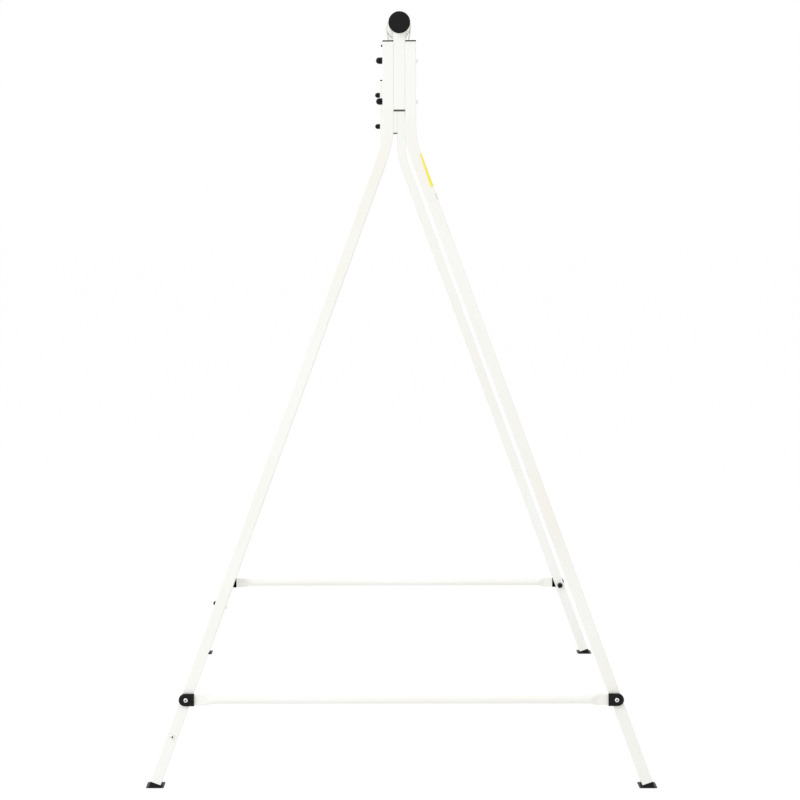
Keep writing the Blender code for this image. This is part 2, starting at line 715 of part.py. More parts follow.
def build_left_leg_fasteners(cap_nut, bolt_holes):
    """A short screw in the front left leg and a bolt across the rear left leg, both near the floor."""
    left = -1
    front = Vector((0, -1, 0))
    flange = (BOLT_FLANGE_DIAMETER, BOLT_FLANGE)
    seat = leg_point(left, -PAIR_SPACING / 2, SCREW_HEIGHT) + front * (LEG_DEPTH / 2 + GAP)
    mesh = bolt_mesh(
        "leg_screw", SCREW_LENGTH, BOLT_DIAMETER, BOLT_HEAD_DIAMETER, BOLT_HEAD_HEIGHT, BOLT_SOCKET
    )
    drill("leg_screw_hole", HOLE_DIAMETER, LEG_DEPTH / 2, seat, front, bolt_holes)
    place_piece("leg_screw_front_left", mesh, seat, turn_to(front))

    out = outwards(left)
    middle = leg_point(left, PAIR_SPACING / 2, CROSS_BOLT_HEIGHT)
    half = LEG_WIDTH / 2 + GAP
    length = 2 * half + CAP_NUT_BORE - GAP
    mesh = bolt_mesh(
        "leg_bolt", length, BOLT_DIAMETER, BOLT_HEAD_DIAMETER, BOLT_HEAD_HEIGHT, BOLT_SOCKET, flange
    )
    drill("leg_bolt_hole", HOLE_DIAMETER, 3 * LEG_WIDTH, middle, out, bolt_holes)
    place_piece("leg_bolt_rear_left", mesh, middle - out * half, turn_to(-out))
    place_piece("leg_cap_nut_rear_left", cap_nut, middle + out * half, turn_to(out))


def build_rivet(bolt_holes):
    """A rivet that holds the plug in the top of the front left leg."""
    out = Vector((-1, 0, 0))
    place = Vector((-PACK_HALF_WIDTH - GAP, -PAIR_SPACING / 2, LEG_TOP - RIVET_DROP))
    radius = RIVET_DIAMETER / 2
    stem = RIVET_STEM_DIAMETER / 2
    profile = [
        (0, -RIVET_STEM_LENGTH),
        (stem, -RIVET_STEM_LENGTH),
        (stem, 0),
        (radius, 0),
        (0.85 * radius, 0.6 * RIVET_HEAD),
        (0.45 * radius, RIVET_HEAD),
        (0, RIVET_HEAD),
    ]
    mesh = mesh_from("plug_rivet", turned(profile, BOLT_SIDES), BLACK_PLASTIC)
    hole = RIVET_STEM_DIAMETER + 2 * GAP
    drill("rivet_hole", hole, 2 * (RIVET_STEM_LENGTH + GAP), place, out, bolt_holes)
    place_piece("plug_rivet_front_left", mesh, place, turn_to(out))


def sticker_section(wrap, height):
    """A sticker's section round the outer side of a leg, from near its rear edge on to its front face."""
    near = GAP
    far = GAP + STICKER_THICKNESS
    ring = []
    for lift in (near, far):
        line = [(LEG_WIDTH / 2 + lift, LEG_DEPTH / 2 - LEG_CORNER)]
        for step in range(CORNER_STEPS + 1):
            angle = math.radians(-90 * step / CORNER_STEPS)
            x = LEG_WIDTH / 2 - LEG_CORNER + (LEG_CORNER + lift) * math.cos(angle)
            y = LEG_CORNER - LEG_DEPTH / 2 + (LEG_CORNER + lift) * math.sin(angle)
            line.append((x, y))
        line.append((LEG_WIDTH / 2 - LEG_CORNER - wrap, -LEG_DEPTH / 2 - lift))
        ring += line if lift == near else reversed(line)
    return at_height(ring, height)


def build_stickers():
    """Bare stickers below the bend, wrapped round the front edge of the leg."""
    for name, coat, drop, length, wraps in (
        ("yellow_sticker", YELLOW_FILM, STICKER_DROP, STICKER_LENGTH, (STICKER_WRAP_FOOT, STICKER_WRAP_TOP)),
        ("silver_sticker", SILVER_FILM, TAG_DROP, TAG_LENGTH, (TAG_WRAP, TAG_WRAP)),
    ):
        shape = bmesh.new()
        skin(shape, [sticker_section(wraps[0], -length), sticker_section(wraps[1], 0)])
        place = leg_point(1, -PAIR_SPACING / 2, LEG_CORNER_HEIGHT - drop)
        place_piece(name, mesh_from(name, shape, coat), place, leg_turn(1))


def strap_line():
    """Half of a strap's middle line, from the top of the crossbar to the tip of an ear, as x and z."""
    ear_top = HANGER_DROP - HANGER_EAR
    reach = math.hypot(STRAP_EAR, ear_top)
    lean = math.asin(STRAP_RADIUS / reach) - math.atan2(STRAP_EAR, ear_top)
    line = []
    half = STRAP_STEPS // 2
    for step in range(half + 1):
        angle = math.pi / 2 - (math.pi / 2 + lean) * step / half
        normal = Vector((math.cos(angle), math.sin(angle)))
        line.append((normal * STRAP_RADIUS, normal, HANGER_TIP_RADIUS))
    side = Vector((1, 0))
    bend = (side + line[-1][1]).normalized()
    line.append((Vector((STRAP_EAR, -ear_top)), bend / bend.dot(side), HANGER_TIP_RADIUS))
    for step in range(TIP_STEPS + 1):
        angle = math.radians(80) * step / TIP_STEPS
        place = Vector((STRAP_EAR, -HANGER_DROP - HANGER_TIP_RADIUS * math.sin(angle)))
        line.append((place, side, HANGER_TIP_RADIUS * math.cos(angle)))
    return line


def strap_mesh():
    half = strap_line()
    left = []
    for place, normal, width in reversed(half[1:]):
        left.append((Vector((-place.x, place.y)), Vector((-normal.x, normal.y)), width))
    rings = []
    for place, normal, width in left + half:
        outer = place + normal * STRAP_THICKNESS / 2
        inner = place - normal * STRAP_THICKNESS / 2
        rings.append(
            [
                (outer.x, -width, outer.y),
                (outer.x, width, outer.y),
                (inner.x, width, inner.y),
                (inner.x, -width, inner.y),
            ]
        )
    shape = bmesh.new()
    skin(shape, rings)
    return mesh_from("hanger_strap", shape, ZINC_STRAP)


def liner_mesh():
    inner = BAR_RADIUS + GAP
    half = STRAP_WIDTH / 2 + GAP
    flange = LINER_RADIUS + LINER_FLANGE
    profile = [
        (inner, -half - LINER_FLANGE_WALL),
        (flange, -half - LINER_FLANGE_WALL),
        (flange, -half),
        (LINER_RADIUS, -half),
        (LINER_RADIUS, half),
        (flange, half),
        (flange, half + LINER_FLANGE_WALL),
        (inner, half + LINER_FLANGE_WALL),
    ]
    return mesh_from("hanger_liner", turned(profile, BAR_SIDES), WHITE_NYLON)


def sleeve_mesh():
    profile = [
        (PIN_HOLE_DIAMETER / 2, -SLEEVE_LENGTH / 2),
        (SLEEVE_DIAMETER / 2, -SLEEVE_LENGTH / 2),
        (SLEEVE_DIAMETER / 2, SLEEVE_LENGTH / 2),
        (PIN_HOLE_DIAMETER / 2, SLEEVE_LENGTH / 2),
    ]
    return mesh_from("hanger_sleeve", turned(profile, CAP_SIDES), STEEL)


def nut_mesh():
    shape = bmesh.new()
    ring = pipe_end(shape, hexagon(PIN_NUT_WIDTH, BOLT_SIDES), circle(PIN_HOLE_DIAMETER / 2, BOLT_SIDES))
    push(shape, ring, (0, 0, PIN_NUT_HEIGHT))
    return mesh_from("hanger_nut", shape, STEEL)


def build_hangers():
    """Straps that turn about the crossbar's centre line, each closed by a pin through a sleeve."""
    strap = strap_mesh()
    liner = liner_mesh()
    sleeve = sleeve_mesh()
    nut = nut_mesh()
    seat = STRAP_EAR + STRAP_THICKNESS / 2 + GAP
    length = 2 * seat + PIN_NUT_HEIGHT + PIN_TAIL
    pin = bolt_mesh("hanger_pin", length, PIN_DIAMETER, PIN_HEAD_DIAMETER, PIN_HEAD_HEIGHT, PIN_SOCKET)
    for end, along in ENDS:
        centre = (0, along * HANGER_SPACING / 2, BAR_HEIGHT)
        place_piece(f"hanger_liner_{end}", liner, centre, turn_to((0, 1, 0)))
        axis = empty_at(f"hanger_axis_{end}", centre)
        holes = bpy.data.collections.new(f"hanger_pin_hole_{end}")
        bpy.context.scene.collection.children.link(holes)
        drill(
            f"hanger_pin_hole_{end}",
            PIN_HOLE_DIAMETER,
            3 * seat,
            (0, 0, -HANGER_DROP),
            (1, 0, 0),
            holes,
            axis,
        )
        cut_all(place_piece(f"hanger_strap_{end}", strap, (0, 0, 0), parent=axis), "pin_holes", holes)
        place_piece(f"hanger_sleeve_{end}", sleeve, (0, 0, -HANGER_DROP), turn_to((1, 0, 0)), axis)
        place_piece(f"hanger_pin_{end}", pin, (seat, 0, -HANGER_DROP), turn_to((1, 0, 0)), axis)
        place_piece(f"hanger_nut_{end}", nut, (-seat, 0, -HANGER_DROP), turn_to((-1, 0, 0)), axis)


def build():
    bolt_holes = bpy.data.collections.new("bolt_holes")
    bpy.context.scene.collection.children.link(bolt_holes)
    cap_nut = cap_nut_mesh()
    build_post_bolts(cap_nut, bolt_holes)
    build_brace_bolts(cap_nut, bolt_holes)
    build_left_leg_fasteners(cap_nut, bolt_holes)
    build_rivet(bolt_holes)
    build_crossbar()
    build_crossbar_plugs()
    build_posts(bolt_holes)
    build_post_plugs()
    build_legs(bolt_holes)
    build_leg_plugs(bolt_holes)
    build_shoes()
    build_braces(bolt_holes)
    build_brace_covers(bolt_holes)
    build_stickers()
    build_hangers()


ENDS = (("front", -1), ("rear", 1))
HANDS = (("left", -1), ("right", 1))
CORNERS = [(end, along, hand, side) for end, along in ENDS for hand, side in HANDS]

clear_scene()
WHITE_COAT = finish_of("white_powder_coat", (0.88, 0.89, 0.85), 0.42, 0.0)
BLACK_PLASTIC = finish_of("black_plastic", (0.020, 0.020, 0.021), 0.5, 0.0)
WHITE_NYLON = finish_of("white_nylon", (0.82, 0.82, 0.80), 0.5, 0.0)
STEEL = finish_of("zinc_plated_steel", (0.55, 0.56, 0.57), 0.32, 1.0)
ZINC_STRAP = finish_of("galvanised_strap", (0.48, 0.49, 0.50), 0.45, 1.0)
YELLOW_FILM = finish_of("yellow_film", (0.93, 0.82, 0.06), 0.4, 0.0)
SILVER_FILM = finish_of("silver_film", (0.60, 0.60, 0.59), 0.4, 0.0)
build()
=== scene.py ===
# %% [markdown]
# # A swing frame in white powder-coated steel
#
# The real object is a free-standing frame for a garden swing. A round crossbar rests on two short posts,
# and each post is bolted between two bent legs of flat-sided tube. A brace ties each pair of legs low
# down, black plastic closes every open end, and two metal straps turn on the crossbar to carry the swing.
#
# This lesson dresses a CAD model of it, piece by piece. Its sizes are estimates from one photograph. The
# lesson starts by loading that model, whose pieces already lie in their places, in metres, with +Z up and
# the crossbar along Y.

import math

import bmesh
import bpy
from mathutils import Matrix, Vector


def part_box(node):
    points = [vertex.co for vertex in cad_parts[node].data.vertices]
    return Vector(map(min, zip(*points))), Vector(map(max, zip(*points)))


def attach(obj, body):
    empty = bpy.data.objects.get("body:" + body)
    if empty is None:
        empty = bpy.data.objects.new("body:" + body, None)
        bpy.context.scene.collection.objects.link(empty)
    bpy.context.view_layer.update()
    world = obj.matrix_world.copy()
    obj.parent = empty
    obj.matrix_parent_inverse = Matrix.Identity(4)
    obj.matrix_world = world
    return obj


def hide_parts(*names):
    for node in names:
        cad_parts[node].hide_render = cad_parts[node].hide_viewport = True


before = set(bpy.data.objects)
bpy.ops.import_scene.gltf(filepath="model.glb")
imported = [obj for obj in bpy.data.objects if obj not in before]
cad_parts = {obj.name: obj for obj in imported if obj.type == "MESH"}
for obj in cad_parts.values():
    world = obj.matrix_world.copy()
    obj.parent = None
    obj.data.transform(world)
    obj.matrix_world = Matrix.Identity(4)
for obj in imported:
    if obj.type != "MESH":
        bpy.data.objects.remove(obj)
scene = bpy.context.scene
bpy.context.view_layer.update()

# %% [markdown]
# ## The camera
#
# The photograph was taken from one end of the frame, from about three quarters of its height. Where the
# far legs show beside the near ones says only how the distances compare: the pairs are three tenths as
# far apart as the near pair is from the camera. The frame's length is a choice, 1.50 m between the pairs,
# and the camera then stands five and a half metres from the middle, with a long lens. The near brace
# lies level in the picture although the crossbar runs off to the left. A sideways shift of the lens fits
# that best, as if the picture were a crop from one side of a wider one, with the camera turned a little
# to the left.
#
# The camera is built from the three directions it looks along, rather than from angles in a dialog,
# because each can then be checked against a straight edge of the photograph.

# %% Place the camera
sensor_width = 0.036
focal_pixels = 2115.4
image_pixels = 800
shift_pixels = 70
camera_place = Vector((-0.0626, -5.6412, 1.3584))
turn = -0.0204
tip = 0.0906
roll = math.radians(-0.315)

ahead = Vector((math.sin(turn) * math.cos(tip), math.cos(turn) * math.cos(tip), -math.sin(tip)))
level_right = Vector((math.cos(turn), -math.sin(turn), 0.0))
level_up = level_right.cross(ahead)
right = level_right * math.cos(roll) + level_up * math.sin(roll)
up = level_up * math.cos(roll) - level_right * math.sin(roll)

camera_data = bpy.data.cameras.new("end_view")
camera_data.sensor_width = sensor_width * 1000
camera_data.lens = camera_data.sensor_width * focal_pixels / image_pixels
camera_data.shift_x = shift_pixels / image_pixels
camera = bpy.data.objects.new("end_view", camera_data)
camera.matrix_world = Matrix.Translation(camera_place) @ Matrix((right, up, -ahead)).transposed().to_4x4()
scene.collection.objects.link(camera)
scene.camera = camera
print("lens in mm:", round(camera_data.lens, 1))

# %% [markdown]
# ## Nodes by one small function
#
# Every finish below is a small graph of shader nodes. One function adds a node, sets its options and
# sockets, and links others into it, so that a graph reads as a list of what it is made of.
#
# Colours are written as they look on a screen, in hex, and turned once to the linear values that light
# is reckoned in.

# %% Add nodes and colours
def add_node(tree, kind, settings=None, links=None):
    """Adds a node, sets its own options and sockets by name or number, and links sockets into it."""
    node = tree.nodes.new(kind)
    for key, value in (settings or {}).items():
        if isinstance(key, str) and hasattr(node, key):
            setattr(node, key, value)
        else:
            node.inputs[key].default_value = value
    for key, source in (links or {}).items():
        tree.links.new(source, node.inputs[key])
    return node


def linear(hex_colour):
    """The linear colour of an sRGB hex value."""
    parts = [int(hex_colour[place : place + 2], 16) / 255 for place in (1, 3, 5)]
    return (*[part / 12.92 if part <= 0.04045 else ((part + 0.055) / 1.055) ** 2.4 for part in parts], 1.0)


print("the coat's white, in linear light:", [round(part, 3) for part in linear("#FBFBF6")])

# %% [markdown]
# ## Light and floor
#
# A white object on white is all edges: the light has to be even, and the small turns of a tube show only
# because the side away from the light is a touch darker. A bright room does most of it here, with one
# large soft lamp up to the left, one overhead, and a small one at the left front that puts a spark on
# rounded edges.
#
# The floor and the room look pure white to the camera, and to mirrors and glass, through the Light Path
# node. The floor still takes a little of the real light, so that the feet keep a faint shadow.

# %% Light the object
scene.view_settings.view_transform = "Standard"

room = bpy.data.worlds.new("white_room")
room.use_nodes = True
room.node_tree.nodes.clear()
path = add_node(room.node_tree, "ShaderNodeLightPath")
camera_or_glass = add_node(
    room.node_tree,
    "ShaderNodeMath",
    {"operation": "MAXIMUM"},
    {0: path.outputs["Is Camera Ray"], 1: path.outputs["Is Transmission Ray"]},
)
seen = add_node(
    room.node_tree,
    "ShaderNodeMath",
    {"operation": "MAXIMUM"},
    {0: camera_or_glass.outputs[0], 1: path.outputs["Is Glossy Ray"]},
)
room_light = add_node(room.node_tree, "ShaderNodeBackground", {"Color": (1, 1, 1, 1), "Strength": 0.80})
room_seen = add_node(room.node_tree, "ShaderNodeBackground", {"Color": (1, 1, 1, 1), "Strength": 1.0})
room_mix = add_node(
    room.node_tree,
    "ShaderNodeMixShader",
    links={0: seen.outputs[0], 1: room_light.outputs[0], 2: room_seen.outputs[0]},
)
add_node(room.node_tree, "ShaderNodeOutputWorld", links={"Surface": room_mix.outputs[0]})
scene.world = room


def add_lamp(name, place, aim, size, watts):
    """A square soft lamp that faces a point."""
    data = bpy.data.lights.new(name, "AREA")
    data.shape = "SQUARE"
    data.size = size
    data.energy = watts
    lamp = bpy.data.objects.new(name, data)
    lamp.location = place
    lamp.rotation_euler = (Vector(aim) - Vector(place)).to_track_quat("-Z", "Y").to_euler()
    scene.collection.objects.link(lamp)


middle = (0.0, 0.0, 0.9)
add_lamp("soft_box_left", (-4.0, -4.5, 4.0), middle, 3.5, 84)
add_lamp("soft_box_top", (0.5, 0.5, 5.5), middle, 4.0, 48)
add_lamp("spark", (-2.6, -5.0, 3.2), middle, 0.4, 12)

# %% [markdown]
# The floor is one large sheet of white paper.

# %% Lay the floor
sheet = bmesh.new()
bmesh.ops.create_grid(sheet, x_segments=1, y_segments=1, size=60)
floor_data = bpy.data.meshes.new("studio_floor")
sheet.to_mesh(floor_data)
sheet.free()
floor = bpy.data.objects.new("studio_floor", floor_data)
floor.location = (0, 0, -0.0005)
scene.collection.objects.link(floor)

paper = bpy.data.materials.new("white_paper_floor")
paper.use_nodes = True
paper.node_tree.nodes.clear()
path = add_node(paper.node_tree, "ShaderNodeLightPath")
paper_lit = add_node(paper.node_tree, "ShaderNodeBsdfDiffuse", {"Color": (0.85, 0.85, 0.85, 1)})
paper_glow = add_node(paper.node_tree, "ShaderNodeEmission", {"Color": (1, 1, 1, 1), "Strength": 1.01})
camera_or_mirror = add_node(
    paper.node_tree,
    "ShaderNodeMath",
    {"operation": "MAXIMUM"},
    {0: path.outputs["Is Camera Ray"], 1: path.outputs["Is Glossy Ray"]},
)
seen_share = add_node(
    paper.node_tree, "ShaderNodeMath", {"operation": "MULTIPLY", 1: 0.96}, {0: camera_or_mirror.outputs[0]}
)
paper_mix = add_node(
    paper.node_tree,
    "ShaderNodeMixShader",
    links={0: seen_share.outputs[0], 1: paper_lit.outputs[0], 2: paper_glow.outputs[0]},
)
add_node(paper.node_tree, "ShaderNodeOutputMaterial", links={"Surface": paper_mix.outputs[0]})
floor_data.materials.append(paper)

# %% [markdown]
# ## Finishes
#
# Each finish starts from a Principled shader. Numbers that are the same all over are set on the shader
# itself. What varies over the surface comes from noise read in Object coordinates, which are metres here
# because no piece is scaled, so that one over a size in metres gives a pattern's scale.

# %% Start a finish
mm = 0.001


def start_finish(name, settings):
    """A material with one Principled shader, and the coordinates that its patterns read."""
    material = bpy.data.materials.new(name)
    material.use_nodes = True
    tree = material.node_tree
    tree.nodes.clear()
    shader = add_node(tree, "ShaderNodeBsdfPrincipled", settings)
    add_node(tree, "ShaderNodeOutputMaterial", links={"Surface": shader.outputs["BSDF"]})
    place = add_node(tree, "ShaderNodeTexCoord").outputs["Object"]
    return material, tree, shader, place


# %% [markdown]
# ### Polyester powder coat
#
# The tubes are sprayed with dry polyester powder and baked. The powder melts into a satin skin with a
# slight orange peel: low, rounded waves 2 to 3 mm apart. Those are finer than a pixel of this picture,
# so they are drawn 6 mm apart. The white leans to ivory where the skin is thicker, in long slow
# patches, and the gloss wanders a little with it.

# %% Mix the white powder coat
powder_coat, tree, shader, place = start_finish(
    "polyester_powder_coat", {"IOR": 1.5, "Specular IOR Level": 0.45}
)
slow_patches = add_node(
    tree, "ShaderNodeTexNoise", {"Scale": 1 / (340 * mm), "Detail": 2.0, "Roughness": 0.5}, {"Vector": place}
)
ivory_share = add_node(
    tree,
    "ShaderNodeMapRange",
    {"From Min": 0.40, "From Max": 0.66, "To Min": 0.0, "To Max": 1.0},
    {"Value": slow_patches.outputs[0]},
)
coat_colour = add_node(
    tree,
    "ShaderNodeMix",
    {"data_type": "RGBA", 6: linear("#FBFCF7"), 7: linear("#F9F7F0")},
    {0: ivory_share.outputs[0]},
)
tree.links.new(coat_colour.outputs[2], shader.inputs["Base Color"])
gloss_patches = add_node(
    tree, "ShaderNodeTexNoise", {"Scale": 1 / (45 * mm), "Detail": 3.0, "Roughness": 0.6}, {"Vector": place}
)
gloss = add_node(
    tree, "ShaderNodeMapRange", {"To Min": 0.32, "To Max": 0.46}, {"Value": gloss_patches.outputs[0]}
)
tree.links.new(gloss.outputs[0], shader.inputs["Roughness"])
peel = add_node(
    tree, "ShaderNodeTexNoise", {"Scale": 1 / (6 * mm), "Detail": 1.0, "Roughness": 0.4}, {"Vector": place}
)
peel_bump = add_node(
    tree, "ShaderNodeBump", {"Strength": 0.25, "Distance": 0.12 * mm}, {"Height": peel.outputs[0]}
)
tree.links.new(peel_bump.outputs[0], shader.inputs["Normal"])

# %% [markdown]
# ### Moulded polyethylene
#
# Plugs, feet and covers are black polyethylene from a spark-eroded mould, whose fine grain turns gloss
# into a soft grey sheen seen at a low angle and nearly none seen square on. The grain is 0.3 mm, and
# drawn at 1.5 mm. Handling polishes it unevenly, so the roughness varies over a few centimetres.

# %% Mix the black plastic
black_plastic, tree, shader, place = start_finish(
    "moulded_polyethylene", {"IOR": 1.51, "Specular IOR Level": 0.17}
)
grain = add_node(
    tree, "ShaderNodeTexNoise", {"Scale": 1 / (1.5 * mm), "Detail": 2.0, "Roughness": 0.6}, {"Vector": place}
)
soot = add_node(
    tree,
    "ShaderNodeMix",
    {"data_type": "RGBA", 6: linear("#0A0A0B"), 7: linear("#161616")},
    {0: grain.outputs[0]},
)
tree.links.new(soot.outputs[2], shader.inputs["Base Color"])
rubbed = add_node(
    tree, "ShaderNodeTexNoise", {"Scale": 1 / (22 * mm), "Detail": 3.0, "Roughness": 0.6}, {"Vector": place}
)
sheen = add_node(
    tree, "ShaderNodeMapRange", {"To Min": 0.30, "To Max": 0.50}, {"Value": rubbed.outputs[0]}
)
tree.links.new(sheen.outputs[0], shader.inputs["Roughness"])
grain_bump = add_node(
    tree, "ShaderNodeBump", {"Strength": 0.3, "Distance": 0.08 * mm}, {"Height": grain.outputs[0]}
)
tree.links.new(grain_bump.outputs[0], shader.inputs["Normal"])

# %% [markdown]
# ### Glossy nylon for the nut caps
#
# The caps pressed over the nuts are black nylon from a polished mould. They catch a small sharp spark of
# the lamp, which the grained plastic doesn't. A faint flow mark of a few millimetres keeps the gloss
# from being perfect.

# %% Mix the cap nylon
cap_nylon, tree, shader, place = start_finish("glossy_black_nylon", {"IOR": 1.53, "Specular IOR Level": 0.14})
flow = add_node(
    tree, "ShaderNodeTexNoise", {"Scale": 1 / (5 * mm), "Detail": 2.0, "Distortion": 0.6}, {"Vector": place}
)
cap_colour = add_node(
    tree,
    "ShaderNodeMix",
    {"data_type": "RGBA", 6: linear("#080809"), 7: linear("#101011")},
    {0: flow.outputs[0]},
)
tree.links.new(cap_colour.outputs[2], shader.inputs["Base Color"])
cap_gloss = add_node(tree, "ShaderNodeMapRange", {"To Min": 0.07, "To Max": 0.14}, {"Value": flow.outputs[0]})
tree.links.new(cap_gloss.outputs[0], shader.inputs["Roughness"])

# %% [markdown]
# ### Bright zinc plate
#
# Screws and bolts are steel, plated with a few microns of zinc and brightened, so they are pale silver
# with a trace of blue. Under the plate the cold-formed steel keeps fine turning marks, drawn as small
# stretched noise, and the bright dip leaves slightly duller spots about a millimetre across.

# %% Mix the zinc plate
zinc_plate, tree, shader, place = start_finish("bright_zinc_plate", {"Metallic": 1.0})
dip_spots = add_node(
    tree, "ShaderNodeTexNoise", {"Scale": 1 / (1.2 * mm), "Detail": 3.0, "Roughness": 0.6}, {"Vector": place}
)
plate_colour = add_node(
    tree,
    "ShaderNodeMix",
    {"data_type": "RGBA", 6: linear("#EBEEF0"), 7: linear("#F6F6F3")},
    {0: dip_spots.outputs[0]},
)
tree.links.new(plate_colour.outputs[2], shader.inputs["Base Color"])
plate_gloss = add_node(
    tree, "ShaderNodeMapRange", {"To Min": 0.20, "To Max": 0.38}, {"Value": dip_spots.outputs[0]}
)
tree.links.new(plate_gloss.outputs[0], shader.inputs["Roughness"])
turning_marks = add_node(
    tree, "ShaderNodeMapping", {"Scale": (1.0, 0.25, 1.0)}, {"Vector": place}
)
marks = add_node(
    tree, "ShaderNodeTexNoise", {"Scale": 1 / (0.8 * mm), "Detail": 2.0}, {"Vector": turning_marks.outputs[0]}
)
marks_bump = add_node(
    tree, "ShaderNodeBump", {"Strength": 0.2, "Distance": 0.04 * mm}, {"Height": marks.outputs[0]}
)
tree.links.new(marks_bump.outputs[0], shader.inputs["Normal"])

# %% [markdown]
# ### Galvanised strap
#
# The hanger straps are pressed from hot-dip galvanised strip. Its zinc freezes into flat crystals 5 to
# 8 mm across, the spangle, each of which mirrors the room at its own slight angle. Voronoi cells of that
# size give each crystal its own grey and gloss.

# %% Mix the galvanised strip
galvanised, tree, shader, place = start_finish("galvanised_strip", {"Metallic": 1.0})
spangle = add_node(tree, "ShaderNodeTexVoronoi", {"Scale": 1 / (6.5 * mm)}, {"Vector": place})
crystal = add_node(tree, "ShaderNodeSeparateColor", links={"Color": spangle.outputs["Color"]})
strip_colour = add_node(
    tree,
    "ShaderNodeMix",
    {"data_type": "RGBA", 6: linear("#DCDCD8"), 7: linear("#EAEAE6")},
    {0: crystal.outputs[0]},
)
tree.links.new(strip_colour.outputs[2], shader.inputs["Base Color"])
strip_gloss = add_node(
    tree, "ShaderNodeMapRange", {"To Min": 0.34, "To Max": 0.52}, {"Value": crystal.outputs[1]}
)
tree.links.new(strip_gloss.outputs[0], shader.inputs["Roughness"])
strip_bump = add_node(
    tree, "ShaderNodeBump", {"Strength": 0.15, "Distance": 0.05 * mm}, {"Height": crystal.outputs[2]}
)
tree.links.new(strip_bump.outputs[0], shader.inputs["Normal"])

# %% [markdown]
# ### White nylon
#
# The liners between crossbar and straps are moulded in natural nylon, a dense milky white that lets a
# little light in under its skin. Faint cloudiness of about a centimetre is all that shows on it.

# %% Mix the liner nylon
milk_nylon, tree, shader, place = start_finish(
    "milk_white_nylon",
    {
        "IOR": 1.53,
        "Subsurface Weight": 0.15,
        "Subsurface Radius": (0.004, 0.0035, 0.003),
        "Subsurface Scale": 0.5,
    },
)
clouds = add_node(tree, "ShaderNodeTexNoise", {"Scale": 1 / (10 * mm), "Detail": 3.0}, {"Vector": place})
milk = add_node(
    tree,
    "ShaderNodeMix",
    {"data_type": "RGBA", 6: linear("#FCFBF7"), 7: linear("#F4F3EC")},
    {0: clouds.outputs[0]},
)
tree.links.new(milk.outputs[2], shader.inputs["Base Color"])
milk_gloss = add_node(
    tree, "ShaderNodeMapRange", {"To Min": 0.35, "To Max": 0.5}, {"Value": clouds.outputs[0]}
)
tree.links.new(milk_gloss.outputs[0], shader.inputs["Roughness"])

# %% [markdown]
# ### Sticker films
#
# The stickers are printed vinyl film, pressed on by hand. Vinyl is smooth and slightly soft, so trapped
# air and the coat beneath show through as low waves, drawn 9 mm apart. One film is a flat printed
# yellow, and the other has a silver ink that stays duller and greyer than metal. Both are left bare.

# %% Mix the two films
for film_name, slot_name, first, second, metallic in (
    ("yellow_vinyl", "yellow_film", "#FEF33C", "#FAED35", 0.0),
    ("silver_vinyl", "silver_film", "#E9EAE8", "#DBDCDA", 0.25),
):
    film, tree, shader, place = start_finish(film_name, {"IOR": 1.52, "Metallic": metallic})
    waves = add_node(tree, "ShaderNodeTexNoise", {"Scale": 1 / (9 * mm), "Detail": 2.0}, {"Vector": place})
    ink = add_node(
        tree,
        "ShaderNodeMix",
        {"data_type": "RGBA", 6: linear(first), 7: linear(second)},
        {0: waves.outputs[0]},
    )
    tree.links.new(ink.outputs[2], shader.inputs["Base Color"])
    film_gloss = add_node(
        tree, "ShaderNodeMapRange", {"To Min": 0.30, "To Max": 0.42}, {"Value": waves.outputs[0]}
    )
    tree.links.new(film_gloss.outputs[0], shader.inputs["Roughness"])
    wave_bump = add_node(
        tree, "ShaderNodeBump", {"Strength": 0.2, "Distance": 0.1 * mm}, {"Height": waves.outputs[0]}
    )
    tree.links.new(wave_bump.outputs[0], shader.inputs["Normal"])
yellow_vinyl = bpy.data.materials["yellow_vinyl"]
silver_vinyl = bpy.data.materials["silver_vinyl"]

# %% [markdown]
# ## Sizes from the model
#
# The pieces below are made where the model has them. Its own boxes give the places that matter, and the
# stock sizes of tube and bolt are written beside them.

# %% Read the places off the model
def middle_of(name):
    low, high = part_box(name)
    return (Vector(low) + Vector(high)) / 2


bar = middle_of("crossbar")
bar_low, bar_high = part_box("crossbar")
bar_radius = (bar_high[2] - bar_low[2]) / 2
bar_length = bar_high[1] - bar_low[1]
pair_y = middle_of("leg_rear_right").y
hanger_y = middle_of("hanger_liner_rear").y
leg_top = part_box("leg_front_left")[1][2]
post_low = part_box("drop_post_front")[0]
leg_width, leg_depth, leg_corner, leg_wall = 25 * mm, 50 * mm, 1.6 * mm, 1.5 * mm
post_width, post_wall = -2 * post_low[0], 2 * mm
touch = 0.3 * mm
ends = (("front", -1), ("rear", 1))
hands = (("left", -1), ("right", 1))
print("crossbar height and length:", round(bar.z, 4), round(bar_length, 4), "pairs at", round(pair_y, 4))

# %% [markdown]
# Below its bend each leg leans out in a straight line. The model's leg box ends at the leg's lowest
# corner, and the lean follows from how far that corner stands out. Two small functions then give any
# point of that line and the directions along and across it.

# %% Find the lean of the legs
leg_offset = post_width / 2 + touch + leg_width / 2
bend_height = bar.z - 265.4 * mm
spread = 581.6 * mm
end_height = 11.8 * mm
lean = math.atan((spread - leg_offset) / bend_height)


def on_leg(side, y, height):
    """A point on the middle line of a leaning leg."""
    return Vector((side * (spread - height * math.tan(lean)), y, height))


def across_leg(side):
    """The direction across a leaning leg, away from the middle of the frame."""
    return Vector((side * math.cos(lean), 0, math.sin(lean)))


def up_leg(side):
    return Vector((-side * math.sin(lean), 0, math.cos(lean)))


print("lean in degrees:", round(math.degrees(lean), 2))

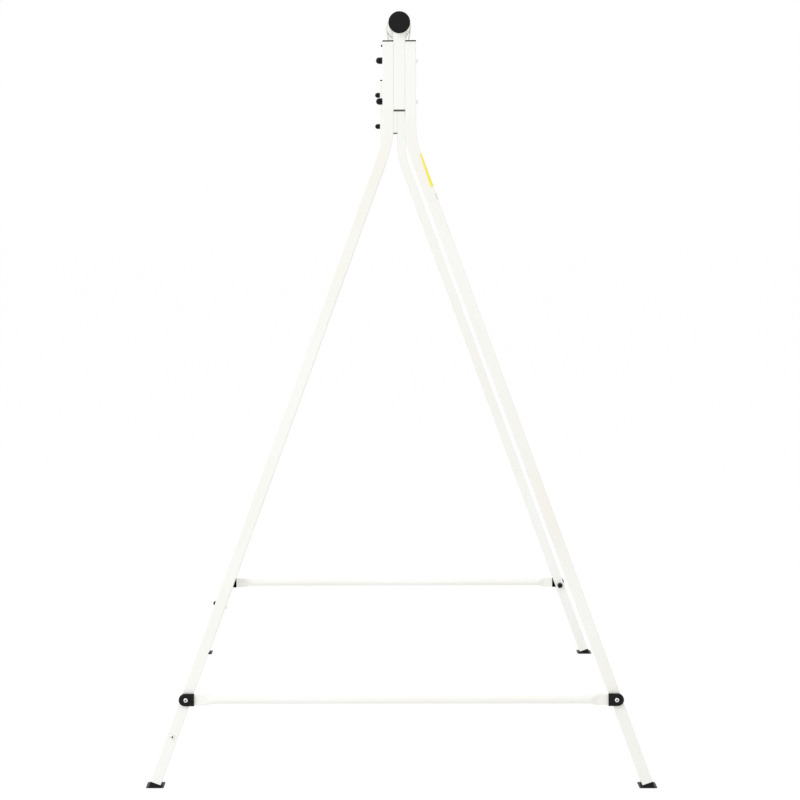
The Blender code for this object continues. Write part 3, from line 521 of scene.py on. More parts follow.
# %% [markdown]
# ## Making and setting pieces
#
# A piece is made once about its own origin, where its shape is easiest to think of, and copies of its
# mesh are then moved to their places. The move goes into the mesh, and the object itself stays at the
# origin, so that patterns keep to the piece. Each finished piece rides on a body, and where it stands
# for a node of the model, that node's part is hidden.
#
# A flat side next to a rounded edge looks pillowed when shading blends over both. The Weighted Normal
# modifier lets the large flat faces decide, and the blend stays in the edge.

# %% Make and set pieces
point_merge = 0.002 * mm


def frame_at(place, z_axis, x_axis=None):
    """A move that carries a piece's own +Z, and +X if given, to these directions."""
    z_axis = Vector(z_axis).normalized()
    if x_axis is None:
        turned = z_axis.to_track_quat("Z", "Y").to_matrix()
    else:
        x_axis = Vector(x_axis).normalized()
        turned = Matrix((x_axis, z_axis.cross(x_axis), z_axis)).transposed()
    return Matrix.Translation(place) @ turned.to_4x4()


def close_mesh(name, shape, material, sharp=32):
    """A mesh from a bmesh, with doubles merged, faces outwards and edges below an angle smooth."""
    bmesh.ops.remove_doubles(shape, verts=shape.verts[:], dist=point_merge)
    bmesh.ops.recalc_face_normals(shape, faces=shape.faces[:])
    mesh = bpy.data.meshes.new(name)
    shape.to_mesh(mesh)
    shape.free()
    mesh.materials.append(material)
    mesh.shade_smooth()
    mesh.set_sharp_from_angle(angle=math.radians(sharp))
    return mesh


def set_piece(name, mesh, move, body="frame", node=None, flat_sides=False):
    """Puts a copy of a mesh in its place, riding on a body, for a node of the model if one is named."""
    own = mesh.copy()
    own.transform(move)
    piece = bpy.data.objects.new(name, own)
    scene.collection.objects.link(piece)
    if flat_sides:
        weighted = piece.modifiers.new("flat_sides", "WEIGHTED_NORMAL")
        weighted.keep_sharp = True
    if node:
        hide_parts(node)
    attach(piece, body)
    return piece


# %% [markdown]
# Short helpers cover most of the shaping. One draws a rectangle with rounded corners by bevelling the
# corners of a square, and one extrudes faces along a straight way. One sinks a ring of edges into a
# recess, and one turns a profile round Z, as on a lathe.

# %% Shape faces
def plate(shape, width, depth, corner=0.0, steps=6):
    """One flat face in the XY plane, with rounded corners if a radius is given."""
    square = bmesh.ops.create_grid(shape, x_segments=1, y_segments=1, size=0.5)["verts"]
    bmesh.ops.scale(shape, vec=(width, depth, 1), verts=square)
    if corner:
        bmesh.ops.bevel(
            shape, geom=square, offset=corner, segments=steps, profile=0.5, affect="VERTICES", material=-1
        )
    return shape.faces[:]


def edges_of(items):
    """The edges that belong to some faces, or that meet at some verts."""
    if isinstance(items[0], bmesh.types.BMFace):
        return list({edge for face in items for edge in face.edges})
    return list({edge for vert in items for edge in vert.link_edges})


def only(made, kind):
    return [item for item in made if isinstance(item, kind)]


def pull(shape, faces, way):
    """Extrudes faces along a straight way, and gives back the faces at its end."""
    made = bmesh.ops.extrude_face_region(shape, geom=faces + edges_of(faces))["geom"]
    bmesh.ops.translate(shape, vec=way, verts=only(made, bmesh.types.BMVert))
    return only(made, bmesh.types.BMFace)


def circle(shape, segments, radius, height=0.0):
    """The edges of a circle, or of a polygon with few segments, at a height."""
    move = Matrix.Translation((0, 0, height))
    made = bmesh.ops.create_circle(shape, cap_ends=False, segments=segments, radius=radius, matrix=move)
    return edges_of(made["verts"])


def sink(shape, edges, depth):
    """Extrudes a ring of edges straight down, and closes every opening that is left."""
    made = bmesh.ops.extrude_edge_only(shape, edges=edges)["geom"]
    bmesh.ops.translate(shape, vec=(0, 0, -depth), verts=only(made, bmesh.types.BMVert))
    bmesh.ops.holes_fill(shape, edges=[edge for edge in shape.edges if edge.is_boundary], sides=0)


def inset(shape, faces, width):
    bmesh.ops.inset_region(shape, faces=faces, thickness=width, use_boundary=True, use_even_offset=True)


def round_edges(shape, edges, radius, steps):
    bmesh.ops.bevel(
        shape, geom=edges, offset=radius, segments=steps, profile=0.5, affect="EDGES", material=-1
    )


def tube_ring(shape, width, depth, corner, wall):
    """The cut end of a flat-sided tube: a rounded plate with its middle taken out."""
    inset(shape, plate(shape, width, depth, corner), wall)
    middle_face = min(shape.faces, key=lambda face: face.calc_center_median().length)
    bmesh.ops.delete(shape, geom=[middle_face], context="FACES_ONLY")
    return shape.faces[:]


def lathe(profile, steps=64):
    """A shape turned once round Z from (radius, height) points."""
    shape = bmesh.new()
    verts = [shape.verts.new((radius, 0, height)) for radius, height in profile]
    edges = [shape.edges.new(pair) for pair in zip(verts, verts[1:])]
    turn_round = {"cent": (0, 0, 0), "axis": (0, 0, 1), "angle": 2 * math.pi, "use_merge": True}
    bmesh.ops.spin(shape, geom=verts + edges, steps=steps, **turn_round)
    bmesh.ops.remove_doubles(shape, verts=shape.verts[:], dist=point_merge)
    return shape


def arc(centre, radius, first, last, steps):
    """Points of an arc in a profile, between two angles in degrees from the outward direction."""
    angles = [math.radians(first + (last - first) * step / steps) for step in range(steps + 1)]
    return [(centre[0] + radius * math.cos(angle), centre[1] + radius * math.sin(angle)) for angle in angles]


# %% [markdown]
# ## Crossbar and its plugs
#
# The crossbar is a plain round tube, sawn square at both ends. An open cylinder gets its wall from
# solidify, which keeps the outside where it is.
#
# The plugs are pushed in by hand. Each has a broad head, very slightly domed, with a rounded rim that
# laps over the sawn edge.

# %% Make the crossbar and plugs
bar_wall = 2 * mm
shape = bmesh.new()
bmesh.ops.create_cone(
    shape, cap_ends=False, segments=96, radius1=bar_radius, radius2=bar_radius, depth=bar_length
)
bmesh.ops.recalc_face_normals(shape, faces=shape.faces[:])
bmesh.ops.solidify(shape, geom=shape.faces[:], thickness=bar_wall)
crossbar = close_mesh("crossbar_tube", shape, powder_coat)
set_piece("crossbar_tube", crossbar, frame_at(bar, (0, 1, 0)), node="crossbar")

plug_rim, plug_head, rim_round = 24.75 * mm, 4 * mm, 1.3 * mm
insert, insert_end = bar_radius - bar_wall - touch, -22 * mm
profile = [(0, insert_end), (insert - 1.5 * mm, insert_end), (insert, insert_end + 2 * mm), (insert, touch)]
profile.append((plug_rim, touch))
profile += arc((plug_rim - rim_round, touch + plug_head - rim_round), rim_round, 0, 78, 6)
profile += [(plug_rim * 0.6, touch + plug_head - 0.08 * mm), (0, touch + plug_head)]
bar_plug = close_mesh("crossbar_plug_cap", lathe(profile, 96), black_plastic)
for end, along in ends:
    sawn_end = Vector((0, along * bar_length / 2, bar.z))
    move = frame_at(sawn_end, (0, along, 0))
    set_piece(f"crossbar_plug_cap_{end}", bar_plug, move, node=f"crossbar_plug_{end}")
print("crossbar faces:", len(crossbar.polygons), "plug faces:", len(bar_plug.polygons))

# %% [markdown]
# ## Posts and their welds
#
# A short flat-sided tube hangs under the crossbar at each end. Its top is cut to a saddle that fits the
# round of the bar, and it is welded there before the coat goes on. The saddle is made by dividing the
# tube's narrow sides and lifting every point of its top ring on to the circle of the bar.
#
# The bolts draw the legs hard against the post, and the coat fills what is left of the seams. So this
# tube is drawn a hair wider and with tighter corners than its neighbours, and no dark line shows there.

# %% Make the posts
saddle_radius = bar_radius + touch
post_bottom = post_low[2]


def saddle_height(x):
    return bar.z - math.sqrt(saddle_radius**2 - x**2)


shape = bmesh.new()
tube_ring(shape, post_width + 1.6 * touch, leg_depth, 0.0, post_wall)
across_edges = [edge for edge in shape.edges if abs(edge.verts[0].co.y - edge.verts[1].co.y) < 0.01 * mm]
bmesh.ops.subdivide_edges(shape, edges=across_edges, cuts=11, use_grid_fill=True)
pull(shape, shape.faces[:], (0, 0, bar.z - post_bottom))
past_x, past_y = post_width / 2, leg_depth / 2 - 0.1 * mm
outer_corners = [
    edge
    for edge in shape.edges
    if edge.calc_length() > leg_depth
    and all(abs(vert.co.x) > past_x and abs(vert.co.y) > past_y for vert in edge.verts)
]
round_edges(shape, outer_corners, 0.8 * mm, 4)
for vert in shape.verts:
    if vert.co.z > leg_depth:
        vert.co.z = saddle_height(vert.co.x) - post_bottom
post = close_mesh("drop_post_tube", shape, powder_coat)
for end, along in ends:
    foot_of_post = Vector((0, along * pair_y, post_bottom))
    move = Matrix.Translation(foot_of_post)
    set_piece(f"drop_post_tube_{end}", post, move, node=f"drop_post_{end}", flat_sides=True)
print("post faces:", len(post.polygons))

# %% [markdown]
# The weld is a row of small overlapping drops, each frozen before the next was laid. Flattened spheres a
# drop apart are set round the saddle, and a fine voxel remesh runs them together into one bead.

# %% Lay the weld beads
drop_spacing, drop_radius, drop_sink = 1.9 * mm, 1.9 * mm, 0.4 * mm
outline = []
for corner_x, corner_y, next_x, next_y in ((1, -1, 1, 1), (1, 1, -1, 1), (-1, 1, -1, -1), (-1, -1, 1, -1)):
    start = Vector((corner_x * post_width / 2, corner_y * leg_depth / 2))
    stop = Vector((next_x * post_width / 2, next_y * leg_depth / 2))
    drops = round((stop - start).length / drop_spacing)
    outline += [start.lerp(stop, drop / drops) for drop in range(drops)]
shape = bmesh.new()
for point in outline:
    move = Matrix.Translation((point.x, point.y, saddle_height(point.x) - drop_sink))
    bmesh.ops.create_icosphere(shape, subdivisions=2, radius=drop_radius, matrix=move)
bead = bpy.data.meshes.new("weld_bead")
shape.to_mesh(bead)
shape.free()
bead.materials.append(powder_coat)
for end, along in ends:
    weld = set_piece(f"weld_bead_{end}", bead, Matrix.Translation((0, along * pair_y, 0)))
    fuse = weld.modifiers.new("fuse", "REMESH")
    fuse.mode = "VOXEL"
    fuse.voxel_size = 0.55 * mm
    fuse.use_smooth_shade = True
print("drops in a bead:", len(outline))

# %% [markdown]
# ## Legs
#
# All four legs are the same tube: straight beside the post, bent once on a pair of rollers, then
# straight to the ground. One leg is drawn down from its top: the cut end is pulled down, spun round the
# bend's centre in small steps, and pulled on along the lean.

# %% Make the legs
bend_radius = 200 * mm
tangent = bend_radius * math.tan(lean / 2)
bend_start = bend_height + tangent - leg_top
shape = bmesh.new()
faces = pull(shape, tube_ring(shape, leg_width, leg_depth, leg_corner, leg_wall), (0, 0, bend_start))
bend_centre = (bend_radius, 0, bend_start)
bent = bmesh.ops.spin(
    shape, geom=faces + edges_of(faces), cent=bend_centre, axis=(0, 1, 0), angle=-lean, steps=24
)
faces = only(bent["geom_last"], bmesh.types.BMFace)
straight = (bend_height - end_height) / math.cos(lean) - tangent
pull(shape, faces, (straight * math.sin(lean), 0, -straight * math.cos(lean)))
leg = close_mesh("leg_tube", shape, powder_coat)
for end, along in ends:
    for hand, side in hands:
        top = Vector((side * leg_offset, along * pair_y, leg_top))
        set_piece(
            f"leg_tube_{end}_{hand}",
            leg,
            frame_at(top, (0, 0, 1), (side, 0, 0)),
            node=f"leg_{end}_{hand}",
            flat_sides=True,
        )
print("leg faces:", len(leg.polygons), "lean length in mm:", round(straight / mm))

# %% [markdown]
# ## Plugs of the flat-sided tubes
#
# The plugs in the leg tops and under the posts are small trays: a head as wide as the tube, with a
# rounded upper edge, and an insert that grips inside. The head is a rounded plate pulled up and then
# bevelled along its top, and the insert is pulled down from an inset of its underside.

# %% Make the plugs
def tube_plug(name, width, depth, wall, head, length, edge):
    """A plug whose head lies on the tube's end and faces +Z."""
    shape = bmesh.new()
    underside = plate(shape, width, depth, leg_corner)
    head_top = pull(shape, underside, (0, 0, head))
    round_edges(shape, edges_of(head_top), edge, 3)
    shape.normal_update()
    broad = [face for face in shape.faces if len(face.verts) > 8]
    bottom = [face for face in broad if abs(face.calc_center_median().z) < touch / 2]
    inset(shape, bottom, wall + touch)
    pull(shape, bottom, (0, 0, -length))
    bmesh.ops.translate(shape, vec=(0, 0, touch), verts=shape.verts[:])
    return close_mesh(name, shape, black_plastic)


leg_plug = tube_plug("leg_plug_tray", leg_width, leg_depth, leg_wall, 2.8 * mm, 17 * mm, 0.8 * mm)
post_plug = tube_plug("post_plug_tray", post_width, leg_depth, post_wall, 2 * mm, 9 * mm, 0.5 * mm)
for end, along in ends:
    set_piece(
        f"post_plug_tray_{end}",
        post_plug,
        frame_at((0, along * pair_y, post_bottom), (0, 0, -1)),
        node=f"drop_post_plug_{end}",
        flat_sides=True,
    )
    for hand, side in hands:
        top = Vector((side * leg_offset, along * pair_y, leg_top))
        set_piece(
            f"leg_plug_tray_{end}_{hand}",
            leg_plug,
            Matrix.Translation(top),
            node=f"leg_plug_{end}_{hand}",
            flat_sides=True,
        )
print("plug faces:", len(leg_plug.polygons), len(post_plug.polygons))

# %% [markdown]
# ## Feet
#
# Each foot is one moulding: a wedge that takes up the leg's lean, on a thin base wider than the leg, and
# a hollow insert in the tube. Its side view is drawn once with eight points and pulled to the leg's
# depth. The face under the leg is then inset and pulled up the leg for the insert, the base's corners are
# rounded, and the outer edges get the small rounds that a mould leaves.

# %% Make the feet
foot_width, foot_shift, foot_base = 42 * mm, 2.3 * mm, 2 * mm
insert_length, insert_wall, insert_floor = 28 * mm, 4 * mm, 4 * mm
seat = Vector((0, 0, end_height)) - up_leg(1) * touch
outer = seat + across_leg(1) * leg_width / 2
inner = seat - across_leg(1) * leg_width / 2
outer_foot = outer - up_leg(1) * (outer.z - foot_base) / up_leg(1).z
inner_foot = inner - up_leg(1) * (inner.z - foot_base) / up_leg(1).z
base_in, base_out = foot_shift - foot_width / 2, foot_shift + foot_width / 2
side_view = [(base_in, 0), (base_out, 0), (base_out, foot_base), (outer_foot.x, foot_base)]
side_view += [(outer.x, outer.z), (inner.x, inner.z), (inner_foot.x, foot_base), (base_in, foot_base)]
shape = bmesh.new()
face = shape.faces.new([shape.verts.new((x, -leg_depth / 2, z)) for x, z in side_view])
pull(shape, [face], (0, leg_depth, 0))
shape.normal_update()
top_face = [min(shape.faces, key=lambda face: (face.calc_center_median() - seat).length)]
inset(shape, top_face, leg_wall + 3 * touch)
insert_top = pull(shape, top_face, up_leg(1) * insert_length)
inset(shape, insert_top, insert_wall)
pull(shape, insert_top, up_leg(1) * (insert_floor - insert_length))
bmesh.ops.recalc_face_normals(shape, faces=shape.faces[:])
end_faces = [face for face in shape.faces if abs(face.normal.x) > 0.99]
end_edges = [edge for face in end_faces for edge in face.edges]
uprights = [edge for edge in end_edges if abs(edge.verts[0].co.z - edge.verts[1].co.z) > touch]
round_edges(shape, uprights, 5 * mm, 6)
outer_edges = [edge for edge in shape.edges if edge.is_convex and edge.calc_face_angle() > math.radians(35)]
round_edges(shape, outer_edges, 0.8 * mm, 3)
foot = close_mesh("foot_moulding", shape, black_plastic)
for end, along in ends:
    for hand, side in hands:
        place = on_leg(side, along * pair_y, end_height)
        place.z = 0
        set_piece(
            f"foot_moulding_{end}_{hand}",
            foot,
            frame_at(place, (0, 0, 1), (side, 0, 0)),
            node=f"foot_{end}_{hand}",
            flat_sides=True,
        )
print("foot faces:", len(foot.polygons))

# %% [markdown]
# ## Braces
#
# A brace is a round tube whose ends are pressed flat between dies and cropped to a half round. The
# pressing doesn't stretch the steel: the girth stays the same, so the flat end is wider than the tube.
#
# The tube is pulled out ring by ring, and every ring is then pressed. A point keeps its share of the
# girth as it goes from the circle to the flattened shape, which is two half circles joined by flats.

# %% Press the braces
brace_diameter, brace_wall = 18 * mm, 1.2 * mm
brace_slit = 0.6 * mm
brace_flat = 2 * brace_wall + brace_slit
brace_height = middle_of("brace_front").z
flat_half_width = (math.pi * (brace_diameter - brace_flat) / 2 + brace_flat) / 2
bolt_x = on_leg(1, 0, brace_height).x
brace_sides = 64


def pressed(share, thickness):
    """A point of the girth, by its share from 0 to 1, on a tube pressed to a thickness."""
    flat = math.pi * (brace_diameter - thickness) / 2
    round_end = math.pi * thickness / 2
    way = (share % 1.0) * 2 * (flat + round_end)
    turn_over = way >= flat + round_end
    way -= turn_over * (flat + round_end)
    if way < flat:
        point = Vector((thickness / 2, way - flat / 2))
    else:
        angle = (way - flat) / (thickness / 2)
        point = Vector((math.cos(angle) * thickness / 2, flat / 2 + math.sin(angle) * thickness / 2))
    return -point if turn_over else point


# %% [markdown]
# The press closes the tube over a short taper, in the S-curve of the die. Near the very end the crop
# makes each ring narrower, along a circle about the bolt.

# %% Lay out the rings of a brace
flat_start = bolt_x - 40 * mm
taper = 26 * mm
stations = []
for step in range(13):
    bite = step / 12
    eased = bite * bite * (3 - 2 * bite)
    thickness = brace_diameter + (brace_flat - brace_diameter) * eased
    stations.append((flat_start - taper * (1 - bite), thickness, 1.0))
for step in range(13):
    angle = math.radians(82 * step / 12)
    stations.append((bolt_x - 1 * mm + flat_half_width * math.sin(angle), brace_flat, math.cos(angle)))
stations = [(-x, thickness, narrow) for x, thickness, narrow in reversed(stations)] + stations

shape = bmesh.new()
first_ring = bmesh.ops.create_circle(shape, cap_ends=False, segments=brace_sides, radius=brace_diameter / 2)
rings = [first_ring["verts"]]
for _ in stations[1:]:
    edges = [edge for edge in edges_of(rings[-1]) if all(vert in rings[-1] for vert in edge.verts)]
    rings.append(only(bmesh.ops.extrude_edge_only(shape, edges=edges)["geom"], bmesh.types.BMVert))
for (x, thickness, narrow), ring in zip(stations, rings):
    for vert in ring:
        share = math.atan2(vert.co.y, vert.co.x) / (2 * math.pi)
        point = pressed(share, thickness)
        vert.co = Vector((x, point.x, point.y * narrow))
bmesh.ops.holes_fill(shape, edges=[edge for edge in shape.edges if edge.is_boundary], sides=0)
brace = close_mesh("brace_tube", shape, powder_coat, 40)
brace_out = leg_depth / 2 + touch + brace_flat / 2
for end, along in ends:
    move = Matrix.Translation((0, along * (pair_y + brace_out), brace_height))
    set_piece(f"brace_tube_{end}", brace, move, node=f"brace_{end}")
print("brace faces:", len(brace.polygons), "flat end width in mm:", round(2 * flat_half_width / mm, 1))

# %% [markdown]
# ## Covers over the brace ends
#
# A black cap hides each flattened end: round towards the outside and square towards the brace. Its face
# is a rectangle whose two outer corners are bevelled by half its width. The recess for the bolt head is
# a circle bridged to that outline and pulled in, and the wall below the face is left hollow.

# %% Make the covers
cover_half, cover_reach, cover_shift = 14.48 * mm, 19.3 * mm, 2.1 * mm
cover_plate, cover_skirt = 4 * mm, 0.9 * mm
cover_face = touch + brace_flat + touch + cover_plate
cover_length = cover_reach + cover_shift + cover_half
recess_radius, recess_depth, cover_round = 6.3 * mm, 1.2 * mm, 1.1 * mm


def cover_outline(shape, grow, height):
    """The edges of the cover's outline, grown by a distance, at a height."""
    length = cover_length + grow
    made = bmesh.ops.create_grid(shape, x_segments=1, y_segments=1, size=0.5)["verts"]
    bmesh.ops.scale(shape, vec=(length, 2 * (cover_half + grow), 1), verts=made)
    bmesh.ops.translate(shape, vec=(cover_reach - length / 2, 0, height), verts=made)
    for verts, offset, steps in (
        ([vert for vert in made if vert.co.x < 0], cover_half + grow, 16),
        ([vert for vert in made if vert.co.x > 0], 0.8 * mm, 3),
    ):
        bmesh.ops.bevel(
            shape, geom=verts, offset=offset, segments=steps, profile=0.5, affect="VERTICES", material=-1
        )
    bmesh.ops.remove_doubles(shape, verts=shape.verts[:], dist=point_merge)
    face = max(shape.faces, key=lambda face: len(face.verts))
    edges = face.edges[:]
    bmesh.ops.delete(shape, geom=[face], context="FACES_ONLY")
    return edges


def link(shape, first, second):
    return bmesh.ops.bridge_loops(shape, edges=first + second)["faces"]


# %% [markdown]
# The outline is drawn at four depths, from the hollow's mouth round to the face, and each pair is
# bridged. Last comes the circle of the recess, its floor and the bolt's hole, which the bolt fills.

# %% Join the cover's outlines
shape = bmesh.new()
steps = [math.radians(angle) for angle in (0, 30, 60, 90)]
mouth = cover_outline(shape, -cover_skirt, touch)
wall_foot = cover_outline(shape, 0.0, touch)
rounds = []
for angle in steps:
    inward, downward = cover_round * (1 - math.cos(angle)), cover_round * (1 - math.sin(angle))
    rounds.append(cover_outline(shape, -inward, cover_face - downward))
recess_edge = circle(shape, 48, recess_radius, cover_face)
hollow_roof = cover_outline(shape, -cover_skirt, cover_face - cover_plate)
link(shape, hollow_roof, mouth)
link(shape, mouth, wall_foot)
link(shape, wall_foot, rounds[0])
for lower, upper in zip(rounds, rounds[1:]):
    link(shape, lower, upper)
link(shape, rounds[-1], recess_edge)
sink(shape, recess_edge, recess_depth)
cover = close_mesh("brace_end_cap", shape, black_plastic, 38)
for end, along in ends:
    for hand, side in hands:
        place = on_leg(side, along * (pair_y + leg_depth / 2), brace_height)
        set_piece(
            f"brace_end_cap_{end}_{hand}",
            cover,
            frame_at(place, (0, along, 0), (-side, 0, 0)),
            node=f"brace_cover_{end}_{hand}",
            flat_sides=True,
        )
print("cover faces:", len(cover.polygons), "length in mm:", round(cover_length / mm, 1))

# %% [markdown]
# ## Bolts and screws
#
# The bolts are button heads with a hexagon socket. The head is turned on the lathe and left open on top.
# A hexagon is bridged to that opening and pulled down for the socket, so the six walls stay crisp inside
# the soft dome. The thread never shows, and a plain shank stands for it.

# %% Make the bolts
def button_bolt(name, length, shank, head, head_height, socket, washer=None):
    """A bolt whose head sits at 0 and faces +Z, with a shank down to -length."""
    radius, foot = head / 2, 0.0
    profile = [(0, -length), (shank / 2 - 0.7 * mm, -length), (shank / 2, 0.7 * mm - length), (shank / 2, 0)]
    if washer:
        rim, foot = washer[0] / 2, washer[1]
        profile += [(rim - 0.2 * mm, 0), (rim, 0.2 * mm), (rim, foot - 0.3 * mm), (rim - 0.3 * mm, foot)]
    profile += [(radius - 0.2 * mm, foot), (radius, foot + 0.25 * mm)]
    flat_top, brim = 0.62, 0.25 * mm
    for angle in (15, 30, 45, 60, 75):
        turn_in = math.radians(angle)
        out_to = radius * (flat_top + (1 - flat_top) * math.cos(turn_in))
        profile.append((out_to, foot + brim + (head_height - brim) * math.sin(turn_in)))
    profile.append((radius * flat_top, foot + head_height))
    shape = lathe(profile, 48)
    top = [edge for edge in shape.edges if edge.is_boundary]
    hexagon = circle(shape, 6, socket / math.sqrt(3), foot + head_height)
    link(shape, top, hexagon)
    sink(shape, hexagon, 0.35 * head_height)
    return close_mesh(name, shape, zinc_plate, 30)


m6 = (6 * mm, 11 * mm, 3.3 * mm, 4 * mm)
washer = (12.5 * mm, 1.4 * mm)
pack_half = post_width / 2 + 2 * touch + leg_width
nut_bore = 9.2 * mm
post_bolt = button_bolt("post_bolt", 2 * pack_half + nut_bore - touch, *m6, washer)
cover_seat = leg_depth / 2 + cover_face - recess_depth + touch
leg_seat = leg_depth / 2 + touch
brace_bolt = button_bolt("brace_bolt", cover_seat + leg_seat + nut_bore - touch, *m6)
leg_screw = button_bolt("leg_screw", 16 * mm, *m6)
side_seat = leg_width / 2 + touch
leg_bolt = button_bolt("leg_bolt", 2 * side_seat + nut_bore - touch, *m6, washer)
print("bolt head faces:", len(post_bolt.polygons), len(brace_bolt.polygons))

# %% [markdown]
# Each bolt ends in a domed nut with a black cap. The cap has a thin collar where it meets the tube and a
# round crown, and inside it is bored for the bolt.

# %% Make the cap nuts and set the fasteners
crown, nut_length, bore = 7.6 * mm, 14.7 * mm, 3.3 * mm
profile = [(0, nut_bore), (bore, nut_bore), (bore, 0), (crown - 0.3 * mm, 0), (crown, 0.3 * mm)]
groove = crown - 0.2 * mm
profile += [(crown, 1.9 * mm), (groove, 2.1 * mm), (groove, 2.4 * mm), (crown, 2.6 * mm)]
profile += arc((0, nut_length - crown), crown, 0, 90, 12)
cap_nut = close_mesh("cap_nut", lathe(profile, 48), cap_nylon, 30)

for end, along in ends:
    for level, drop in (("upper", 82.5 * mm), ("lower", 175.1 * mm)):
        height = bar.z - drop
        right_side = Vector((pack_half, along * pair_y, height))
        left_side = Vector((-pack_half, along * pair_y, height))
        set_piece(
            f"button_bolt_{end}_{level}",
            post_bolt,
            frame_at(right_side, (1, 0, 0)),
            node=f"post_bolt_{end}_{level}",
        )
        set_piece(
            f"dome_nut_{end}_{level}",
            cap_nut,
            frame_at(left_side, (-1, 0, 0)),
            node=f"post_cap_nut_{end}_{level}",
        )
    for hand, side in hands:
        bolt_line = on_leg(side, along * pair_y, brace_height)
        out = Vector((0, along, 0))
        set_piece(
            f"cap_bolt_{end}_{hand}",
            brace_bolt,
            frame_at(bolt_line + out * cover_seat, out),
            node=f"brace_bolt_{end}_{hand}",
        )
        set_piece(
            f"inner_nut_{end}_{hand}",
            cap_nut,
            frame_at(bolt_line - out * leg_seat, -out),
            node=f"brace_cap_nut_{end}_{hand}",
        )
print("cap nut faces:", len(cap_nut.polygons))

# %% [markdown]
# Three single fasteners sit on the left legs: a short screw low on the front leg, a bolt right across
# the rear leg, and a black push rivet that pins the plug in the front leg's top.

# %% Set the single fasteners
screw_height = middle_of("leg_screw_front_left").z
screw_place = on_leg(-1, -pair_y, screw_height) + Vector((0, -leg_seat, 0))
set_piece("low_screw", leg_screw, frame_at(screw_place, (0, -1, 0)), node="leg_screw_front_left")

cross_height = 146 * mm
cross_line = on_leg(-1, pair_y, cross_height)
out = across_leg(-1)
set_piece("low_bolt", leg_bolt, frame_at(cross_line - out * side_seat, -out), node="leg_bolt_rear_left")
set_piece("low_nut", cap_nut, frame_at(cross_line + out * side_seat, out), node="leg_cap_nut_rear_left")

rivet_head, rivet_rise, rivet_stem = 3 * mm, 3.2 * mm, 1.6 * mm
profile = [(0, -5 * mm), (rivet_stem, -5 * mm), (rivet_stem, 0), (rivet_head, 0), (rivet_head, 0.3 * mm)]
for angle in (25, 50, 75, 90):
    turn_in = math.radians(angle)
    profile.append((rivet_head * math.cos(turn_in), 0.3 * mm + (rivet_rise - 0.3 * mm) * math.sin(turn_in)))
rivet = close_mesh("push_rivet", lathe(profile, 32), black_plastic, 30)
rivet_place = Vector((-pack_half, -pair_y, leg_top - 7.4 * mm))
set_piece("push_rivet", rivet, frame_at(rivet_place, (-1, 0, 0)), node="plug_rivet_front_left")
heights = (screw_height, cross_height, rivet_place.z)
print("single fasteners set at heights in mm:", [round(height / mm) for height in heights])

# %% [markdown]
# ## Stickers
#
# A sticker is cut flat with rounded corners and then wrapped round the outer edge of the leg. The lesson
# does the same: a rounded sheet is sliced in narrow strips where it will bend, each of its points is
# carried round the tube's corner by its distance from the fold, and solidify gives the film its body.
# The photograph shows how long each film is and how far it laps on to the front. Its reach along the
# leg's outer side faces away from the camera, and is a guess.

# %% Cut and wrap the stickers
film, side_margin = 0.3 * mm, 4 * mm
leg_side = leg_width / 2
leg_front = -leg_depth / 2


def wrap(distance, corner=leg_corner, lift=touch):
    """Where a point goes that lies this far past the corner's start: round it, then along the front."""
    quarter = math.pi / 2 * (corner + lift)
    if distance <= 0:
        return leg_side + lift, leg_front + corner - distance
    if distance >= quarter:
        return leg_side - corner - (distance - quarter), leg_front - lift
    angle = distance / (corner + lift)
    return (
        leg_side - corner + (corner + lift) * math.cos(angle),
        leg_front + corner - (corner + lift) * math.sin(angle),
    )


def sticker(name, material, length, front_top, front_foot):
    """A film that starts near the leg's rear edge and reaches on to its front, more at its foot."""
    side_reach = leg_depth - 2 * side_margin
    quarter = math.pi / 2 * (leg_corner + touch)
    reach = side_reach + quarter + max(front_top, front_foot)
    shape = bmesh.new()
    plate(shape, reach, length, 1.2 * mm, 4)
    bmesh.ops.translate(shape, vec=(reach / 2 - side_reach, -length / 2, 0), verts=shape.verts[:])
    for cut in range(12):
        line = quarter * (cut - 1) / 9
        everything = shape.verts[:] + shape.edges[:] + shape.faces[:]
        bmesh.ops.bisect_plane(shape, geom=everything, plane_co=(line, 0, 0), plane_no=(1, 0, 0))
    for vert in shape.verts:
        down = -vert.co.y / length
        past = vert.co.x
        if past > quarter:
            front_here = front_top + (front_foot - front_top) * down
            past = quarter + (past - quarter) * front_here / max(front_top, front_foot)
        x, y = wrap(past)
        vert.co = Vector((x, y, vert.co.y))
    bmesh.ops.recalc_face_normals(shape, faces=shape.faces[:])
    if sum(face.normal.x for face in shape.faces) > 0:
        bmesh.ops.reverse_faces(shape, faces=shape.faces[:])
    bmesh.ops.solidify(shape, geom=shape.faces[:], thickness=film)
    return close_mesh(name, shape, material, 50)


for name, material, length, drop, front_top, front_foot in (
    ("yellow_sticker", yellow_vinyl, 79.5 * mm, 33.5 * mm, 1.6 * mm, 4.2 * mm),
    ("silver_sticker", silver_vinyl, 16 * mm, 123 * mm, 0.6 * mm, 0.6 * mm),
):
    mesh = sticker(f"{name}_film", material, length, front_top, front_foot)
    top = on_leg(1, -pair_y, bend_height - drop)
    set_piece(f"{name}_film", mesh, frame_at(top, up_leg(1), across_leg(1)), node=name)
    print(name, "faces:", len(mesh.polygons))

# %% [markdown]
# ## Hangers
#
# Each hanger is a strap pressed to a U over the crossbar, with a nylon liner between so that it turns
# without wear. Its two ears hold a pin, and a sleeve on the pin carries the swing. The strap is drawn as
# one section, 3 mm thick and 30 mm wide with softened edges, pulled and spun along its middle line. The
# ears are narrowed ring by ring to a half round.

